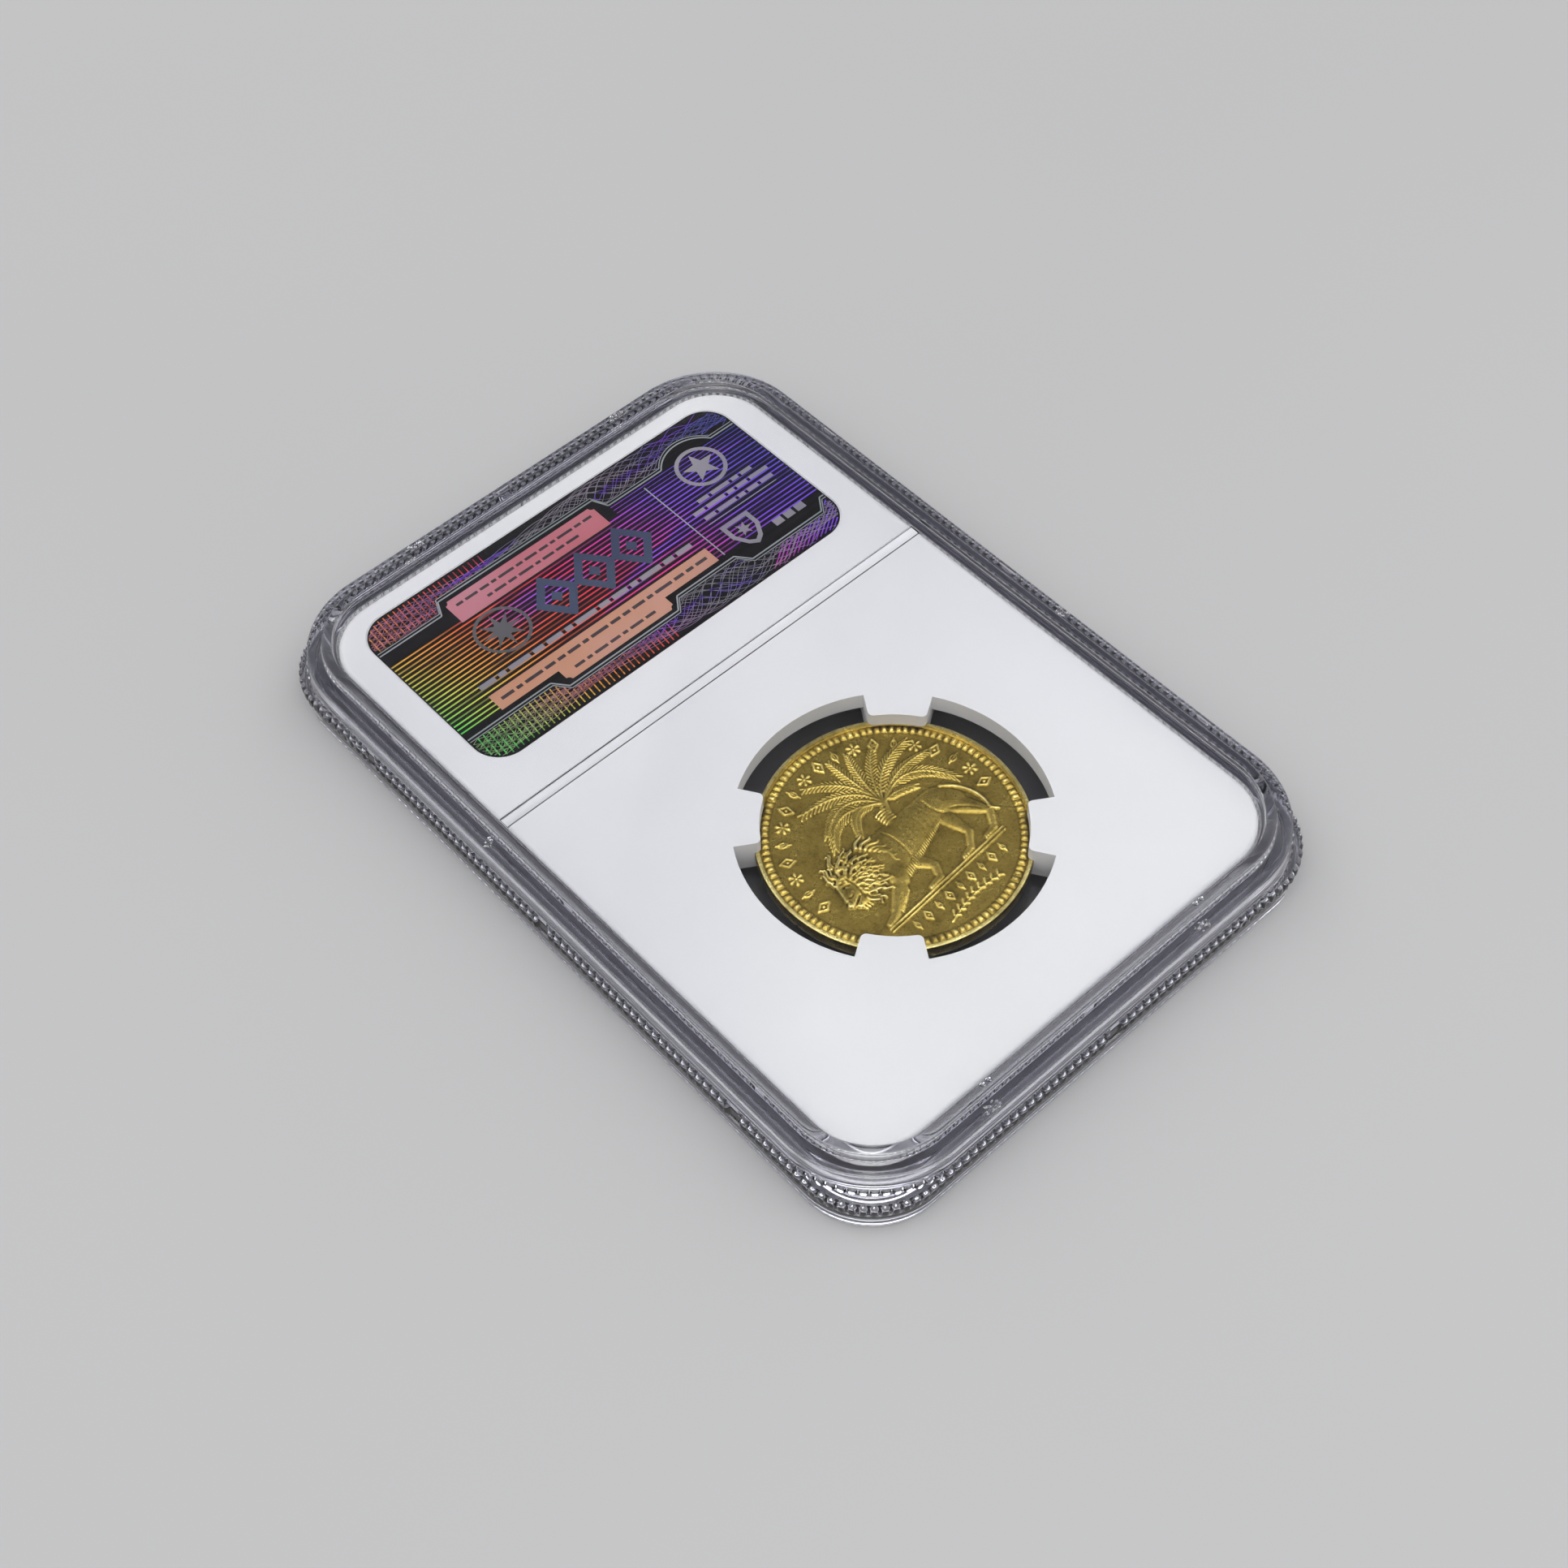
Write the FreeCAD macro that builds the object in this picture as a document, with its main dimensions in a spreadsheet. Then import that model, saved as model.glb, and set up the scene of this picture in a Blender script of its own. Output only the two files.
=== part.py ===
import FreeCAD, Part
import os
import Sketcher

# Graded coin slab: two clear half shells welded along their rims, a white insert
# that carries the coin on four prongs, one label on each face of the insert, and
# the coin.  The slab lies on its front face with the rear face up.
#   X  across the slab, Y along the slab towards the label end, Z up
#   origin at the middle of the footprint, on the surface the slab rests on

doc = FreeCAD.newDocument("coin_slab")

# ---------------------------------------------------------------- driving sizes
sizes = doc.addObject("Spreadsheet::Sheet", "sizes")
table = [
    ("slab_width", 60.0, "across the weld flange"),
    ("slab_length", 86.0, "along the weld flange"),
    ("slab_thick", 8.0, "rim to rim"),
    ("parting_level", 4.0, "height of the weld plane"),
    ("rear_corner", 10.5, "plan corner radius of the rear shell"),
    ("front_corner", 8.0, "plan corner radius of the front shell"),
    ("flange_high", 1.25, "height of each weld flange band"),
    ("flange_proud", 0.2, "how far the band stands out of the side wall"),
    ("side_draft", 6.0, "degrees of draft on the rear shell's side wall"),
    ("skirt_draft", 3.0, "degrees of draft on the front shell's side wall"),
    ("skirt_round", 0.35, "bevel height at the foot of the front shell"),
    ("shoulder_drop", 0.85, "shoulder below the top of the stacking rim"),
    ("shoulder_round", 0.3, "bevel height where side wall meets shoulder"),
    ("rim_inset", 2.0, "outer edge of the rear stacking rim from the flange"),
    ("rim_wide", 1.05, "width of the rear stacking rim"),
    ("rim_high", 0.5, "rim height above the window"),
    ("skirt_inset", 1.85, "inner edge of the front stacking skirt from the flange"),
    ("window_thick", 1.15, "clear window thickness"),
    ("cavity_width", 53.0, "inside width of the shells"),
    ("cavity_length", 78.7, "inside length of the shells"),
    ("cavity_corner", 6.4, "plan corner radius of the cavity"),
    ("tongue_inset", 1.30, "outer face of the weld tongue from the flange"),
    ("tongue_wide", 0.80, "weld tongue width"),
    ("tongue_deep", 0.80, "weld tongue height"),
    ("weld_gap", 0.05, "clearance between tongue and groove"),
    ("bar_at", 9.4, "cross bar position along the slab"),
    ("bar_wide", 1.15, "cross bar width"),
    ("bar_deep", 0.45, "cross bar height under the window"),
    ("insert_width", 52.7, "white insert width"),
    ("insert_length", 78.4, "white insert length"),
    ("insert_corner", 6.25, "white insert corner radius"),
    ("insert_gap", 0.05, "clearance between insert and each window"),
    ("hole_at", -15.0, "coin opening position along the slab"),
    ("hole_radius", 15.0, "coin opening radius on the rear face"),
    ("hole_plate", 1.9, "plate thickness around the coin opening"),
    ("front_hole_radius", 17.5, "coin opening radius on the front face"),
    ("prong_tip_radius", 12.4, "radius of the prong tips"),
    ("prong_deep", 3.7, "prong depth below the rear face"),
    ("prong_root_radius", 16.2, "outer radius of the prong blocks"),
    ("prong_half_angle", 12.6, "half the angle a prong spans, in degrees"),
    ("label_width", 45.9, "label width"),
    ("label_height", 22.2, "label height"),
    ("label_corner", 3.2, "label corner radius"),
    ("label_at", 26.0, "label centre along the slab"),
    ("label_thick", 0.10, "label thickness"),
    ("label_recess", 0.12, "recess depth for a label"),
    ("coin_radius", 13.0, "coin radius"),
    ("coin_thick", 1.5, "coin thickness over the rims"),
    ("coin_field_drop", 0.14, "field below the rim on each face"),
    ("coin_rim_wide", 0.45, "width of the raised rim"),
    ("coin_turn", 4.1, "degrees the coin is turned out of square"),
    ("coin_clear", 0.04, "running clearance between coin and prong groove"),
    ("bar_line_at", 7.0, "ground line of the coin design below its centre"),
]
row = 1
for word, value, note in table:
    sizes.set("A%d" % row, word)
    sizes.set("B%d" % row, str(value))
    sizes.set("C%d" % row, note)
    sizes.setAlias("B%d" % row, word)
    row += 1
doc.recompute()


def size(word):
    return float(sizes.get(word))


def new_body(label):
    body = doc.addObject("PartDesign::Body", label)
    body.Label = label
    return body


def origin_plane(body, role):
    for feature in body.Origin.OriginFeatures:
        if feature.Role == role:
            return feature
    raise ValueError("no plane " + role)


def flat_sketch(body, name, level):
    # sketch parallel to XY at a height given as a sheet expression
    sketch = body.newObject("Sketcher::SketchObject", name)
    sketch.AttachmentSupport = (origin_plane(body, "XY_Plane"), [""])
    sketch.MapMode = "FlatFace"
    sketch.setExpression("AttachmentOffset.Base.z", level)
    return sketch


def rounded_rectangle(sketch, tag, wide, long, corner, at="0"):
    # rectangle with four equal corner arcs, centred on (0, at), fully driven by the sheet
    first = len(sketch.Geometry)
    hx, hy, r = 10.0, 15.0, 3.0
    corners = [(hx, hy, 0.0), (-hx, hy, 90.0), (-hx, -hy, 180.0), (hx, -hy, 270.0)]
    turn = FreeCAD.Units.Quantity("1 deg").getValueAs("rad").Value
    for cx, cy, start in corners:
        mid = FreeCAD.Vector(cx - r * (1 if cx > 0 else -1), cy - r * (1 if cy > 0 else -1), 0)
        circle = Part.Circle(mid, FreeCAD.Vector(0, 0, 1), r)
        sketch.addGeometry(Part.ArcOfCircle(circle, start * turn, (start + 90.0) * turn), False)
    ends = [
        ((hx - r, hy), (-hx + r, hy)),
        ((-hx, hy - r), (-hx, -hy + r)),
        ((-hx + r, -hy), (hx - r, -hy)),
        ((hx, -hy + r), (hx, hy - r)),
    ]
    for (x1, y1), (x2, y2) in ends:
        sketch.addGeometry(Part.LineSegment(FreeCAD.Vector(x1, y1, 0), FreeCAD.Vector(x2, y2, 0)), False)
    arc = [first + k for k in range(4)]
    line = [first + 4 + k for k in range(4)]
    for k in range(4):
        sketch.addConstraint(Sketcher.Constraint("Tangent", arc[k], 2, line[k], 1))
        sketch.addConstraint(Sketcher.Constraint("Tangent", line[k], 2, arc[(k + 1) % 4], 1))
    for k in range(1, 4):
        sketch.addConstraint(Sketcher.Constraint("Equal", arc[0], arc[k]))
    sketch.addConstraint(Sketcher.Constraint("Horizontal", line[0]))
    sketch.addConstraint(Sketcher.Constraint("Vertical", line[1]))
    sketch.addConstraint(Sketcher.Constraint("Horizontal", line[2]))
    sketch.addConstraint(Sketcher.Constraint("Vertical", line[3]))
    driven = [
        (Sketcher.Constraint("Radius", arc[0], r), tag + "_corner", corner),
        (Sketcher.Constraint("DistanceX", line[1], 1, line[3], 1, 2 * hx), tag + "_wide", wide),
        (Sketcher.Constraint("DistanceY", line[2], 1, line[0], 1, 2 * hy), tag + "_long", long),
        (Sketcher.Constraint("DistanceX", -1, 1, line[3], 1, hx), tag + "_half", "(" + wide + ") / 2"),
    ]
    for constraint, name, expression in driven:
        number = sketch.addConstraint(constraint)
        sketch.renameConstraint(number, name)
        sketch.setExpression("Constraints." + name, expression)
    top = "(" + long + ") / 2 + (" + at + ")"
    number = sketch.addConstraint(Sketcher.Constraint("DistanceY", -1, 1, line[0], 1, hy))
    sketch.renameConstraint(number, tag + "_top")
    sketch.setExpression("Constraints." + tag + "_top", top)


def slab_outline(sketch, tag, inset, corner):
    # slab outline moved inwards by an inset expression
    wide = "sizes.slab_width - 2 * (" + inset + ")"
    long = "sizes.slab_length - 2 * (" + inset + ")"
    rounded_rectangle(sketch, tag, wide, long, corner + " - (" + inset + ")")


def pad(body, sketch, name, length, down=False, draft=None):
    feature = body.newObject("PartDesign::Pad", name)
    feature.Profile = sketch
    feature.setExpression("Length", length)
    feature.Reversed = down
    if draft:
        feature.setExpression("TaperAngle", "-(" + draft + ")")
    sketch.Visibility = False
    doc.recompute()
    return feature


def pocket(body, sketch, name, length, up=False):
    before = body.Shape.Volume
    feature = body.newObject("PartDesign::Pocket", name)
    feature.Profile = sketch
    feature.setExpression("Length", length)
    feature.Reversed = up
    sketch.Visibility = False
    doc.recompute()
    if body.Shape.Volume > before - 1e-3:
        raise ValueError(name + " removed nothing")
    return feature


def edges_at(shape, level, smallest=0.0, flat=1e-4):
    # names of the edges that lie at one height, longer than a limit
    names = []
    for number, edge in enumerate(shape.Edges):
        box = edge.BoundBox
        if abs(box.ZMin - level) < flat and abs(box.ZMax - level) < flat and edge.Length > smallest:
            names.append("Edge%d" % (number + 1))
    return names


def ring(body, name, level, inset, wide, corner):
    sketch = flat_sketch(body, name, level)
    slab_outline(sketch, "outer", inset, corner)
    slab_outline(sketch, "inner", inset + " + " + wide, corner)
    return sketch


def block(sketch, tag, middle_x, middle_y, wide, long):
    # plain rectangle with its middle and sides driven by the sheet
    first = len(sketch.Geometry)
    points = [(-1, -1), (1, -1), (1, 1), (-1, 1)]
    for k in range(4):
        x1, y1 = points[k]
        x2, y2 = points[(k + 1) % 4]
        sketch.addGeometry(Part.LineSegment(FreeCAD.Vector(x1, y1, 0), FreeCAD.Vector(x2, y2, 0)), False)
    for k in range(4):
        sketch.addConstraint(Sketcher.Constraint("Coincident", first + k, 2, first + (k + 1) % 4, 1))
    sketch.addConstraint(Sketcher.Constraint("Horizontal", first))
    sketch.addConstraint(Sketcher.Constraint("Horizontal", first + 2))
    sketch.addConstraint(Sketcher.Constraint("Vertical", first + 1))
    sketch.addConstraint(Sketcher.Constraint("Vertical", first + 3))
    driven = [
        (Sketcher.Constraint("DistanceX", first, 1, first, 2, 2), tag + "_wide", wide),
        (Sketcher.Constraint("DistanceY", first + 1, 1, first + 1, 2, 2), tag + "_long", long),
        (Sketcher.Constraint("DistanceX", -1, 1, first, 2, 1), tag + "_right",
         "(" + middle_x + ") + (" + wide + ") / 2"),
        (Sketcher.Constraint("DistanceY", -1, 1, first + 1, 2, 1), tag + "_top",
         "(" + middle_y + ") + (" + long + ") / 2"),
    ]
    for constraint, name, expression in driven:
        number = sketch.addConstraint(constraint)
        sketch.renameConstraint(number, name)
        sketch.setExpression("Constraints." + name, expression)


def cross_bar(body, name, level, down):
    # bar moulded across the inside of a window, between label and coin
    sketch = flat_sketch(body, name + "_outline", level)
    block(sketch, "bar", "0", "sizes.bar_at", "sizes.cavity_width + 1", "sizes.bar_wide")
    pad(body, sketch, name, "sizes.bar_deep", down)


# ------------------------------------------------------------------ rear shell
rear = new_body("rear_shell")
PART = "sizes.parting_level"
REAR = "sizes.rear_corner"
FRONT = "sizes.front_corner"

sketch = flat_sketch(rear, "rear_flange_outline", PART)
slab_outline(sketch, "flange", "0", REAR)
pad(rear, sketch, "rear_flange", "sizes.flange_high")

sketch = flat_sketch(rear, "rear_wall_outline", PART + " + sizes.flange_high")
slab_outline(sketch, "wall", "sizes.flange_proud", REAR)
WALL_HIGH = ("sizes.slab_thick - sizes.parting_level - sizes.flange_high - sizes.shoulder_drop"
             " - sizes.shoulder_round")
pad(rear, sketch, "rear_wall", WALL_HIGH, False, "sizes.side_draft")

sketch = flat_sketch(rear, "rear_shoulder_outline",
                     "sizes.slab_thick - sizes.shoulder_drop - sizes.shoulder_round")
slab_outline(sketch, "shoulder",
             "sizes.flange_proud + tan(sizes.side_draft * 1 deg) * (" + WALL_HIGH + ")", REAR)
pad(rear, sketch, "rear_shoulder", "sizes.shoulder_round", False, "40")

# shelf and stacking rim standing on the shoulder
sketch = flat_sketch(rear, "rear_rim_outline", "sizes.slab_thick - sizes.shoulder_drop")
slab_outline(sketch, "rim", "sizes.rim_inset - 0.15", REAR)
pad(rear, sketch, "rear_rim", "sizes.shoulder_drop", False, "10")

sketch = flat_sketch(rear, "rear_window_outline", "sizes.slab_thick")
slab_outline(sketch, "window", "sizes.rim_inset + sizes.rim_wide", REAR)
feature = pocket(rear, sketch, "rear_window_recess", "sizes.rim_high")

chamfer = rear.newObject("PartDesign::Chamfer", "rear_rim_break")
chamfer.Base = (feature, edges_at(rear.Shape, size("slab_thick")))
chamfer.Size = 0.12
doc.recompute()

sketch = flat_sketch(rear, "rear_cavity_outline", PART)
rounded_rectangle(sketch, "cavity", "sizes.cavity_width", "sizes.cavity_length", "sizes.cavity_corner")
pocket(rear, sketch, "rear_cavity",
       "sizes.slab_thick - sizes.rim_high - sizes.window_thick - sizes.parting_level", True)

sketch = ring(rear, "rear_tongue_outline", PART, "sizes.tongue_inset", "sizes.tongue_wide", REAR)
pad(rear, sketch, "rear_tongue", "sizes.tongue_deep", True)

cross_bar(rear, "rear_cross_bar", "sizes.slab_thick - sizes.rim_high - sizes.window_thick", True)

# ----------------------------------------------------------------- front shell
front = new_body("front_shell")

sketch = flat_sketch(front, "front_flange_outline", PART)
slab_outline(sketch, "flange", "0", FRONT)
pad(front, sketch, "front_flange", "sizes.flange_high", True)

sketch = flat_sketch(front, "front_wall_outline", PART + " - sizes.flange_high")
slab_outline(sketch, "wall", "sizes.flange_proud", FRONT)
SKIRT_HIGH = "sizes.parting_level - sizes.flange_high - sizes.skirt_round"
pad(front, sketch, "front_wall", SKIRT_HIGH, True, "sizes.skirt_draft")

sketch = flat_sketch(front, "front_skirt_outline", "sizes.skirt_round")
slab_outline(sketch, "skirt",
             "sizes.flange_proud + tan(sizes.skirt_draft * 1 deg) * (" + SKIRT_HIGH + ")", FRONT)
pad(front, sketch, "front_skirt", "sizes.skirt_round", True, "40")

sketch = flat_sketch(front, "front_window_outline", "0")
slab_outline(sketch, "window", "sizes.skirt_inset", REAR)
pocket(front, sketch, "front_window_recess", "sizes.rim_high", True)

sketch = flat_sketch(front, "front_cavity_outline", PART)
rounded_rectangle(sketch, "cavity", "sizes.cavity_width", "sizes.cavity_length", "sizes.cavity_corner")
pocket(front, sketch, "front_cavity", "sizes.parting_level - sizes.rim_high - sizes.window_thick")

sketch = ring(front, "front_groove_outline", PART, "sizes.tongue_inset - sizes.weld_gap",
              "sizes.tongue_wide + 2 * sizes.weld_gap", REAR)
pocket(front, sketch, "front_groove", "sizes.tongue_deep + sizes.weld_gap")

cross_bar(front, "front_cross_bar", "sizes.rim_high + sizes.window_thick", False)

# ---------------------------------------------------------------- white insert
insert = new_body("coin_insert")
INSERT_LOW = "sizes.rim_high + sizes.window_thick + sizes.insert_gap"
INSERT_TOP = "sizes.slab_thick - sizes.rim_high - sizes.window_thick - sizes.insert_gap"
low = size("rim_high") + size("window_thick") + size("insert_gap")
top = size("slab_thick") - low

sketch = flat_sketch(insert, "insert_outline", INSERT_LOW)
rounded_rectangle(sketch, "insert", "sizes.insert_width", "sizes.insert_length", "sizes.insert_corner")
feature = pad(insert, sketch, "insert_plate", INSERT_TOP + " - (" + INSERT_LOW + ")")

fillet = insert.newObject("PartDesign::Fillet", "insert_edge_round")
fillet.Base = (feature, edges_at(insert.Shape, low) + edges_at(insert.Shape, top))
fillet.Radius = 0.4
doc.recompute()


def hole_sketch(name, level, radius):
    sketch = flat_sketch(insert, name, level)
    spot = FreeCAD.Vector(0, size("hole_at"), 0)
    sketch.addGeometry(Part.Circle(spot, FreeCAD.Vector(0, 0, 1), 5.0), False)
    sketch.addConstraint(Sketcher.Constraint("PointOnObject", 0, 3, -2))
    for constraint, word, expression in (
        (Sketcher.Constraint("DistanceY", -1, 1, 0, 3, size("hole_at")), "across", "sizes.hole_at"),
        (Sketcher.Constraint("Radius", 0, 5.0), "radius", radius),
    ):
        number = sketch.addConstraint(constraint)
        sketch.renameConstraint(number, word)
        sketch.setExpression("Constraints." + word, expression)
    return sketch


sketch = hole_sketch("coin_hole_outline", INSERT_TOP, "sizes.hole_radius")
pocket(insert, sketch, "coin_hole", INSERT_TOP + " - (" + INSERT_LOW + ")")
sketch = hole_sketch("front_hole_outline", INSERT_LOW, "sizes.front_hole_radius")
pocket(insert, sketch, "front_hole", INSERT_TOP + " - (" + INSERT_LOW + ") - sizes.hole_plate", True)

def prong_outline(sketch):
    # wedge whose sides point at the coin's centre, from inside the tip to the root
    spots = [(0, -1), (1, -1), (1, 1), (0, 1)]
    for k in range(4):
        x1, y1 = spots[k]
        x2, y2 = spots[(k + 1) % 4]
        sketch.addGeometry(Part.LineSegment(FreeCAD.Vector(11 + 5 * x1, 2.5 * y1, 0),
                                            FreeCAD.Vector(11 + 5 * x2, 2.5 * y2, 0)), False)
    for k in range(4):
        sketch.addConstraint(Sketcher.Constraint("Coincident", k, 2, (k + 1) % 4, 1))
    reach = ["(sizes.prong_tip_radius - 0.6)", "sizes.prong_root_radius"]
    for k in range(4):
        far, side = spots[k]
        slope = " * tan(sizes.prong_half_angle * 1 deg)"
        for word, kind, start, expression in (
            ("out", "DistanceX", 11 + 5 * far, reach[far]),
            ("side", "DistanceY", 2.5 * side, ("-" if side < 0 else "") + reach[far] + slope),
        ):
            number = sketch.addConstraint(Sketcher.Constraint(kind, -1, 1, k, 1, start))
            name = word + "_%d" % k
            sketch.renameConstraint(number, name)
            sketch.setExpression("Constraints." + name, expression)


# four prongs on the diagonals of the slab, reaching in over the coin's edge
DIAGONALS = (45.0, 135.0, 225.0, 315.0)
for number, angle in enumerate(DIAGONALS):
    sketch = flat_sketch(insert, "prong_%d_outline" % (number + 1), INSERT_TOP)
    sketch.setExpression("AttachmentOffset.Base.y", "sizes.hole_at")
    sketch.setExpression("AttachmentOffset.Rotation.Angle", "%g deg" % angle)
    prong_outline(sketch)
    pad(insert, sketch, "prong_%d" % (number + 1), "sizes.prong_deep", True)

# the tips are swept to the coin's own curve, and their corners rounded
sketch = hole_sketch("prong_tip_outline", INSERT_TOP, "sizes.prong_tip_radius")
pocket(insert, sketch, "prong_tip_curve", INSERT_TOP + " - (" + INSERT_LOW + ")")
tip_edges = []
for number, edge in enumerate(insert.Shape.Edges):
    box = edge.BoundBox
    middle = edge.CenterOfMass
    reach = FreeCAD.Vector(middle.x, middle.y - size("hole_at"), 0).Length
    if box.ZLength > size("prong_deep") - 0.02 and abs(reach - size("prong_tip_radius")) < 0.1:
        tip_edges.append("Edge%d" % (number + 1))
prongs_cut = insert.Tip
fillet = insert.newObject("PartDesign::Fillet", "prong_tip_round")
fillet.Base = (prongs_cut, tip_edges)
fillet.Radius = 0.55
doc.recompute()

# groove in the prongs that the coin's rim runs in
sketch = hole_sketch("coin_groove_outline",
                     "sizes.slab_thick / 2 + sizes.coin_thick / 2 + sizes.coin_clear",
                     "sizes.coin_radius + sizes.coin_clear")
pocket(insert, sketch, "coin_groove", "sizes.coin_thick + 2 * sizes.coin_clear")

# label recesses and the two grooves that clear the cross bars
for side, level, up in (("rear", INSERT_TOP, False), ("front", INSERT_LOW, True)):
    sketch = flat_sketch(insert, side + "_recess_outline", level)
    rounded_rectangle(sketch, "recess", "sizes.label_width + 0.3", "sizes.label_height + 0.3",
                      "sizes.label_corner + 0.15", "sizes.label_at")
    pocket(insert, sketch, side + "_label_recess", "sizes.label_recess", up)
    sketch = flat_sketch(insert, side + "_bar_groove_outline", level)
    block(sketch, "groove", "0", "sizes.bar_at", "sizes.insert_width + 2", "sizes.bar_wide + 0.2")
    pocket(insert, sketch, side + "_bar_groove", "sizes.bar_deep + 0.05", up)

# ---------------------------------------------------------------------- labels
for name, level in (
    ("rear_label", INSERT_TOP + " - sizes.label_recess"),
    ("front_label", INSERT_LOW + " + sizes.label_recess - sizes.label_thick"),
):
    label = new_body(name)
    sketch = flat_sketch(label, name + "_outline", level)
    rounded_rectangle(sketch, "label", "sizes.label_width", "sizes.label_height",
                      "sizes.label_corner", "sizes.label_at")
    pad(label, sketch, name + "_sheet", "sizes.label_thick")

# ------------------------------------------------------------------------ coin
coin = new_body("coin")
profile = coin.newObject("Sketcher::SketchObject", "coin_profile")
profile.AttachmentSupport = (origin_plane(coin, "XZ_Plane"), [""])
profile.MapMode = "FlatFace"
outer = size("coin_radius")
half = size("coin_thick") / 2
field = half - size("coin_field_drop")
inner = outer - size("coin_rim_wide")
soft = 0.10
points = [
    (0, -field), (inner - 0.12, -field), (inner, -half), (outer - soft, -half), (outer, -half + soft),
    (outer, half - soft), (outer - soft, half), (inner, half), (inner - 0.12, field), (0, field),
]
for k in range(len(points)):
    x1, y1 = points[k]
    x2, y2 = points[(k + 1) % len(points)]
    profile.addGeometry(Part.LineSegment(FreeCAD.Vector(x1, y1, 0), FreeCAD.Vector(x2, y2, 0)), False)
for k in range(len(points)):
    profile.addConstraint(Sketcher.Constraint("Coincident", k, 2, (k + 1) % len(points), 1))
expressions = {
    "outer": "sizes.coin_radius",
    "outer_soft": "sizes.coin_radius - %g" % soft,
    "inner": "sizes.coin_radius - sizes.coin_rim_wide",
    "inner_foot": "sizes.coin_radius - sizes.coin_rim_wide - 0.12",
    "zero": "0",
    "field": "sizes.coin_thick / 2 - sizes.coin_field_drop",
    "half": "sizes.coin_thick / 2",
    "half_soft": "sizes.coin_thick / 2 - %g" % soft,
}
across = ["zero", "inner_foot", "inner", "outer_soft", "outer", "outer", "outer_soft", "inner",
          "inner_foot", "zero"]
along = ["field", "field", "half", "half", "half_soft", "half_soft", "half", "half", "field", "field"]
for k, (x, y) in enumerate(points):
    if across[k] == "zero":
        profile.addConstraint(Sketcher.Constraint("PointOnObject", k, 1, -2))
    else:
        number = profile.addConstraint(Sketcher.Constraint("DistanceX", -1, 1, k, 1, x))
        profile.renameConstraint(number, "across_%d" % k)
        profile.setExpression("Constraints.across_%d" % k, expressions[across[k]])
    number = profile.addConstraint(Sketcher.Constraint("DistanceY", -1, 1, k, 1, y))
    profile.renameConstraint(number, "along_%d" % k)
    sign = "-" if y < 0 else ""
    profile.setExpression("Constraints.along_%d" % k, sign + "(" + expressions[along[k]] + ")")
turning = coin.newObject("PartDesign::Revolution", "coin_blank")
turning.Profile = profile
turning.ReferenceAxis = (profile, ["V_Axis"])
turning.Angle = 360.0
profile.Visibility = False
doc.recompute()

# ground line of the design, raised across the field below the middle
ground = flat_sketch(coin, "ground_line_outline", "sizes.coin_thick / 2 - sizes.coin_field_drop")
block(ground, "ground", "0", "-sizes.bar_line_at", "15.1", "0.28")
pad(coin, ground, "ground_line", "0.10")

coin.setExpression("Placement.Base.y", "sizes.hole_at")
coin.setExpression("Placement.Base.z", "sizes.slab_thick / 2")
coin.Placement = FreeCAD.Placement(
    coin.Placement.Base, FreeCAD.Rotation(FreeCAD.Vector(0, 0, 1), size("coin_turn")))
doc.recompute()

# ---------------------------------------------------------------------- output
for item in doc.Objects:
    if "Invalid" in item.State or "Error" in item.State:
        raise ValueError(item.Name + " did not compute")
os.makedirs("parts", exist_ok=True)
for name in ("front_shell", "rear_shell", "coin_insert", "rear_label", "front_label", "coin"):
    body = doc.getObject(name)
    if body.Shape.isNull() or not body.Shape.isValid():
        raise ValueError(name + " has no valid shape")
    body.Shape.exportStep("parts/" + name + ".step")
    box = body.Shape.BoundBox
    print(name, "%.2f x %.2f x %.2f" % (box.XLength, box.YLength, box.ZLength),
          "z %.2f..%.2f" % (box.ZMin, box.ZMax), "volume %.1f" % body.Shape.Volume,
          "solids", len(body.Shape.Solids))
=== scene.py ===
import math
import bmesh
import bpy
import numpy as np
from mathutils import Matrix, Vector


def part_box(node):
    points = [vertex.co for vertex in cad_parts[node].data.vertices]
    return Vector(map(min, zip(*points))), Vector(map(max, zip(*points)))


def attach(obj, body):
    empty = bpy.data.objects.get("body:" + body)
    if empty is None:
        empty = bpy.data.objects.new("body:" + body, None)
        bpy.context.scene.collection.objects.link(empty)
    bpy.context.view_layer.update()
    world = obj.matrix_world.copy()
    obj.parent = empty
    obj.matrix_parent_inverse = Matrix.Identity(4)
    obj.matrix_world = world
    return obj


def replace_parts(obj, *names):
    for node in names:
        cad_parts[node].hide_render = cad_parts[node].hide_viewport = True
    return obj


# Graded coin slab: clear half shells with beaded weld flanges, a white insert, a
# foil label on the rear, a paper label on the front and a struck gold coin.
# Everything below works in millimetres and is turned into metres by finish_mesh.

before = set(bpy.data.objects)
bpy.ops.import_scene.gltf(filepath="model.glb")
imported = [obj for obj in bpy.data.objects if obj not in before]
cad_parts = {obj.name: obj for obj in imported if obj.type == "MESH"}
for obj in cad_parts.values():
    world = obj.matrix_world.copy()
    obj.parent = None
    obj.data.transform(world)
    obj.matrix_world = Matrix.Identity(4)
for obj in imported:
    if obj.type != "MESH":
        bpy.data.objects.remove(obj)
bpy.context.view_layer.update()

MM = 0.001


def box_mm(node):
    low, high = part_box(node)
    return np.array(low) / MM, np.array(high) / MM


front_low, front_high = box_mm("front_shell")
rear_low, rear_high = box_mm("rear_shell")
label_low, label_high = box_mm("rear_label")
paper_low, paper_high = box_mm("front_label")
coin_low, coin_high = box_mm("coin")

half_wide = (rear_high[0] - rear_low[0]) / 2
half_long = (rear_high[1] - rear_low[1]) / 2
top = rear_high[2]
foot = front_low[2]
weld = front_high[2]


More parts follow.
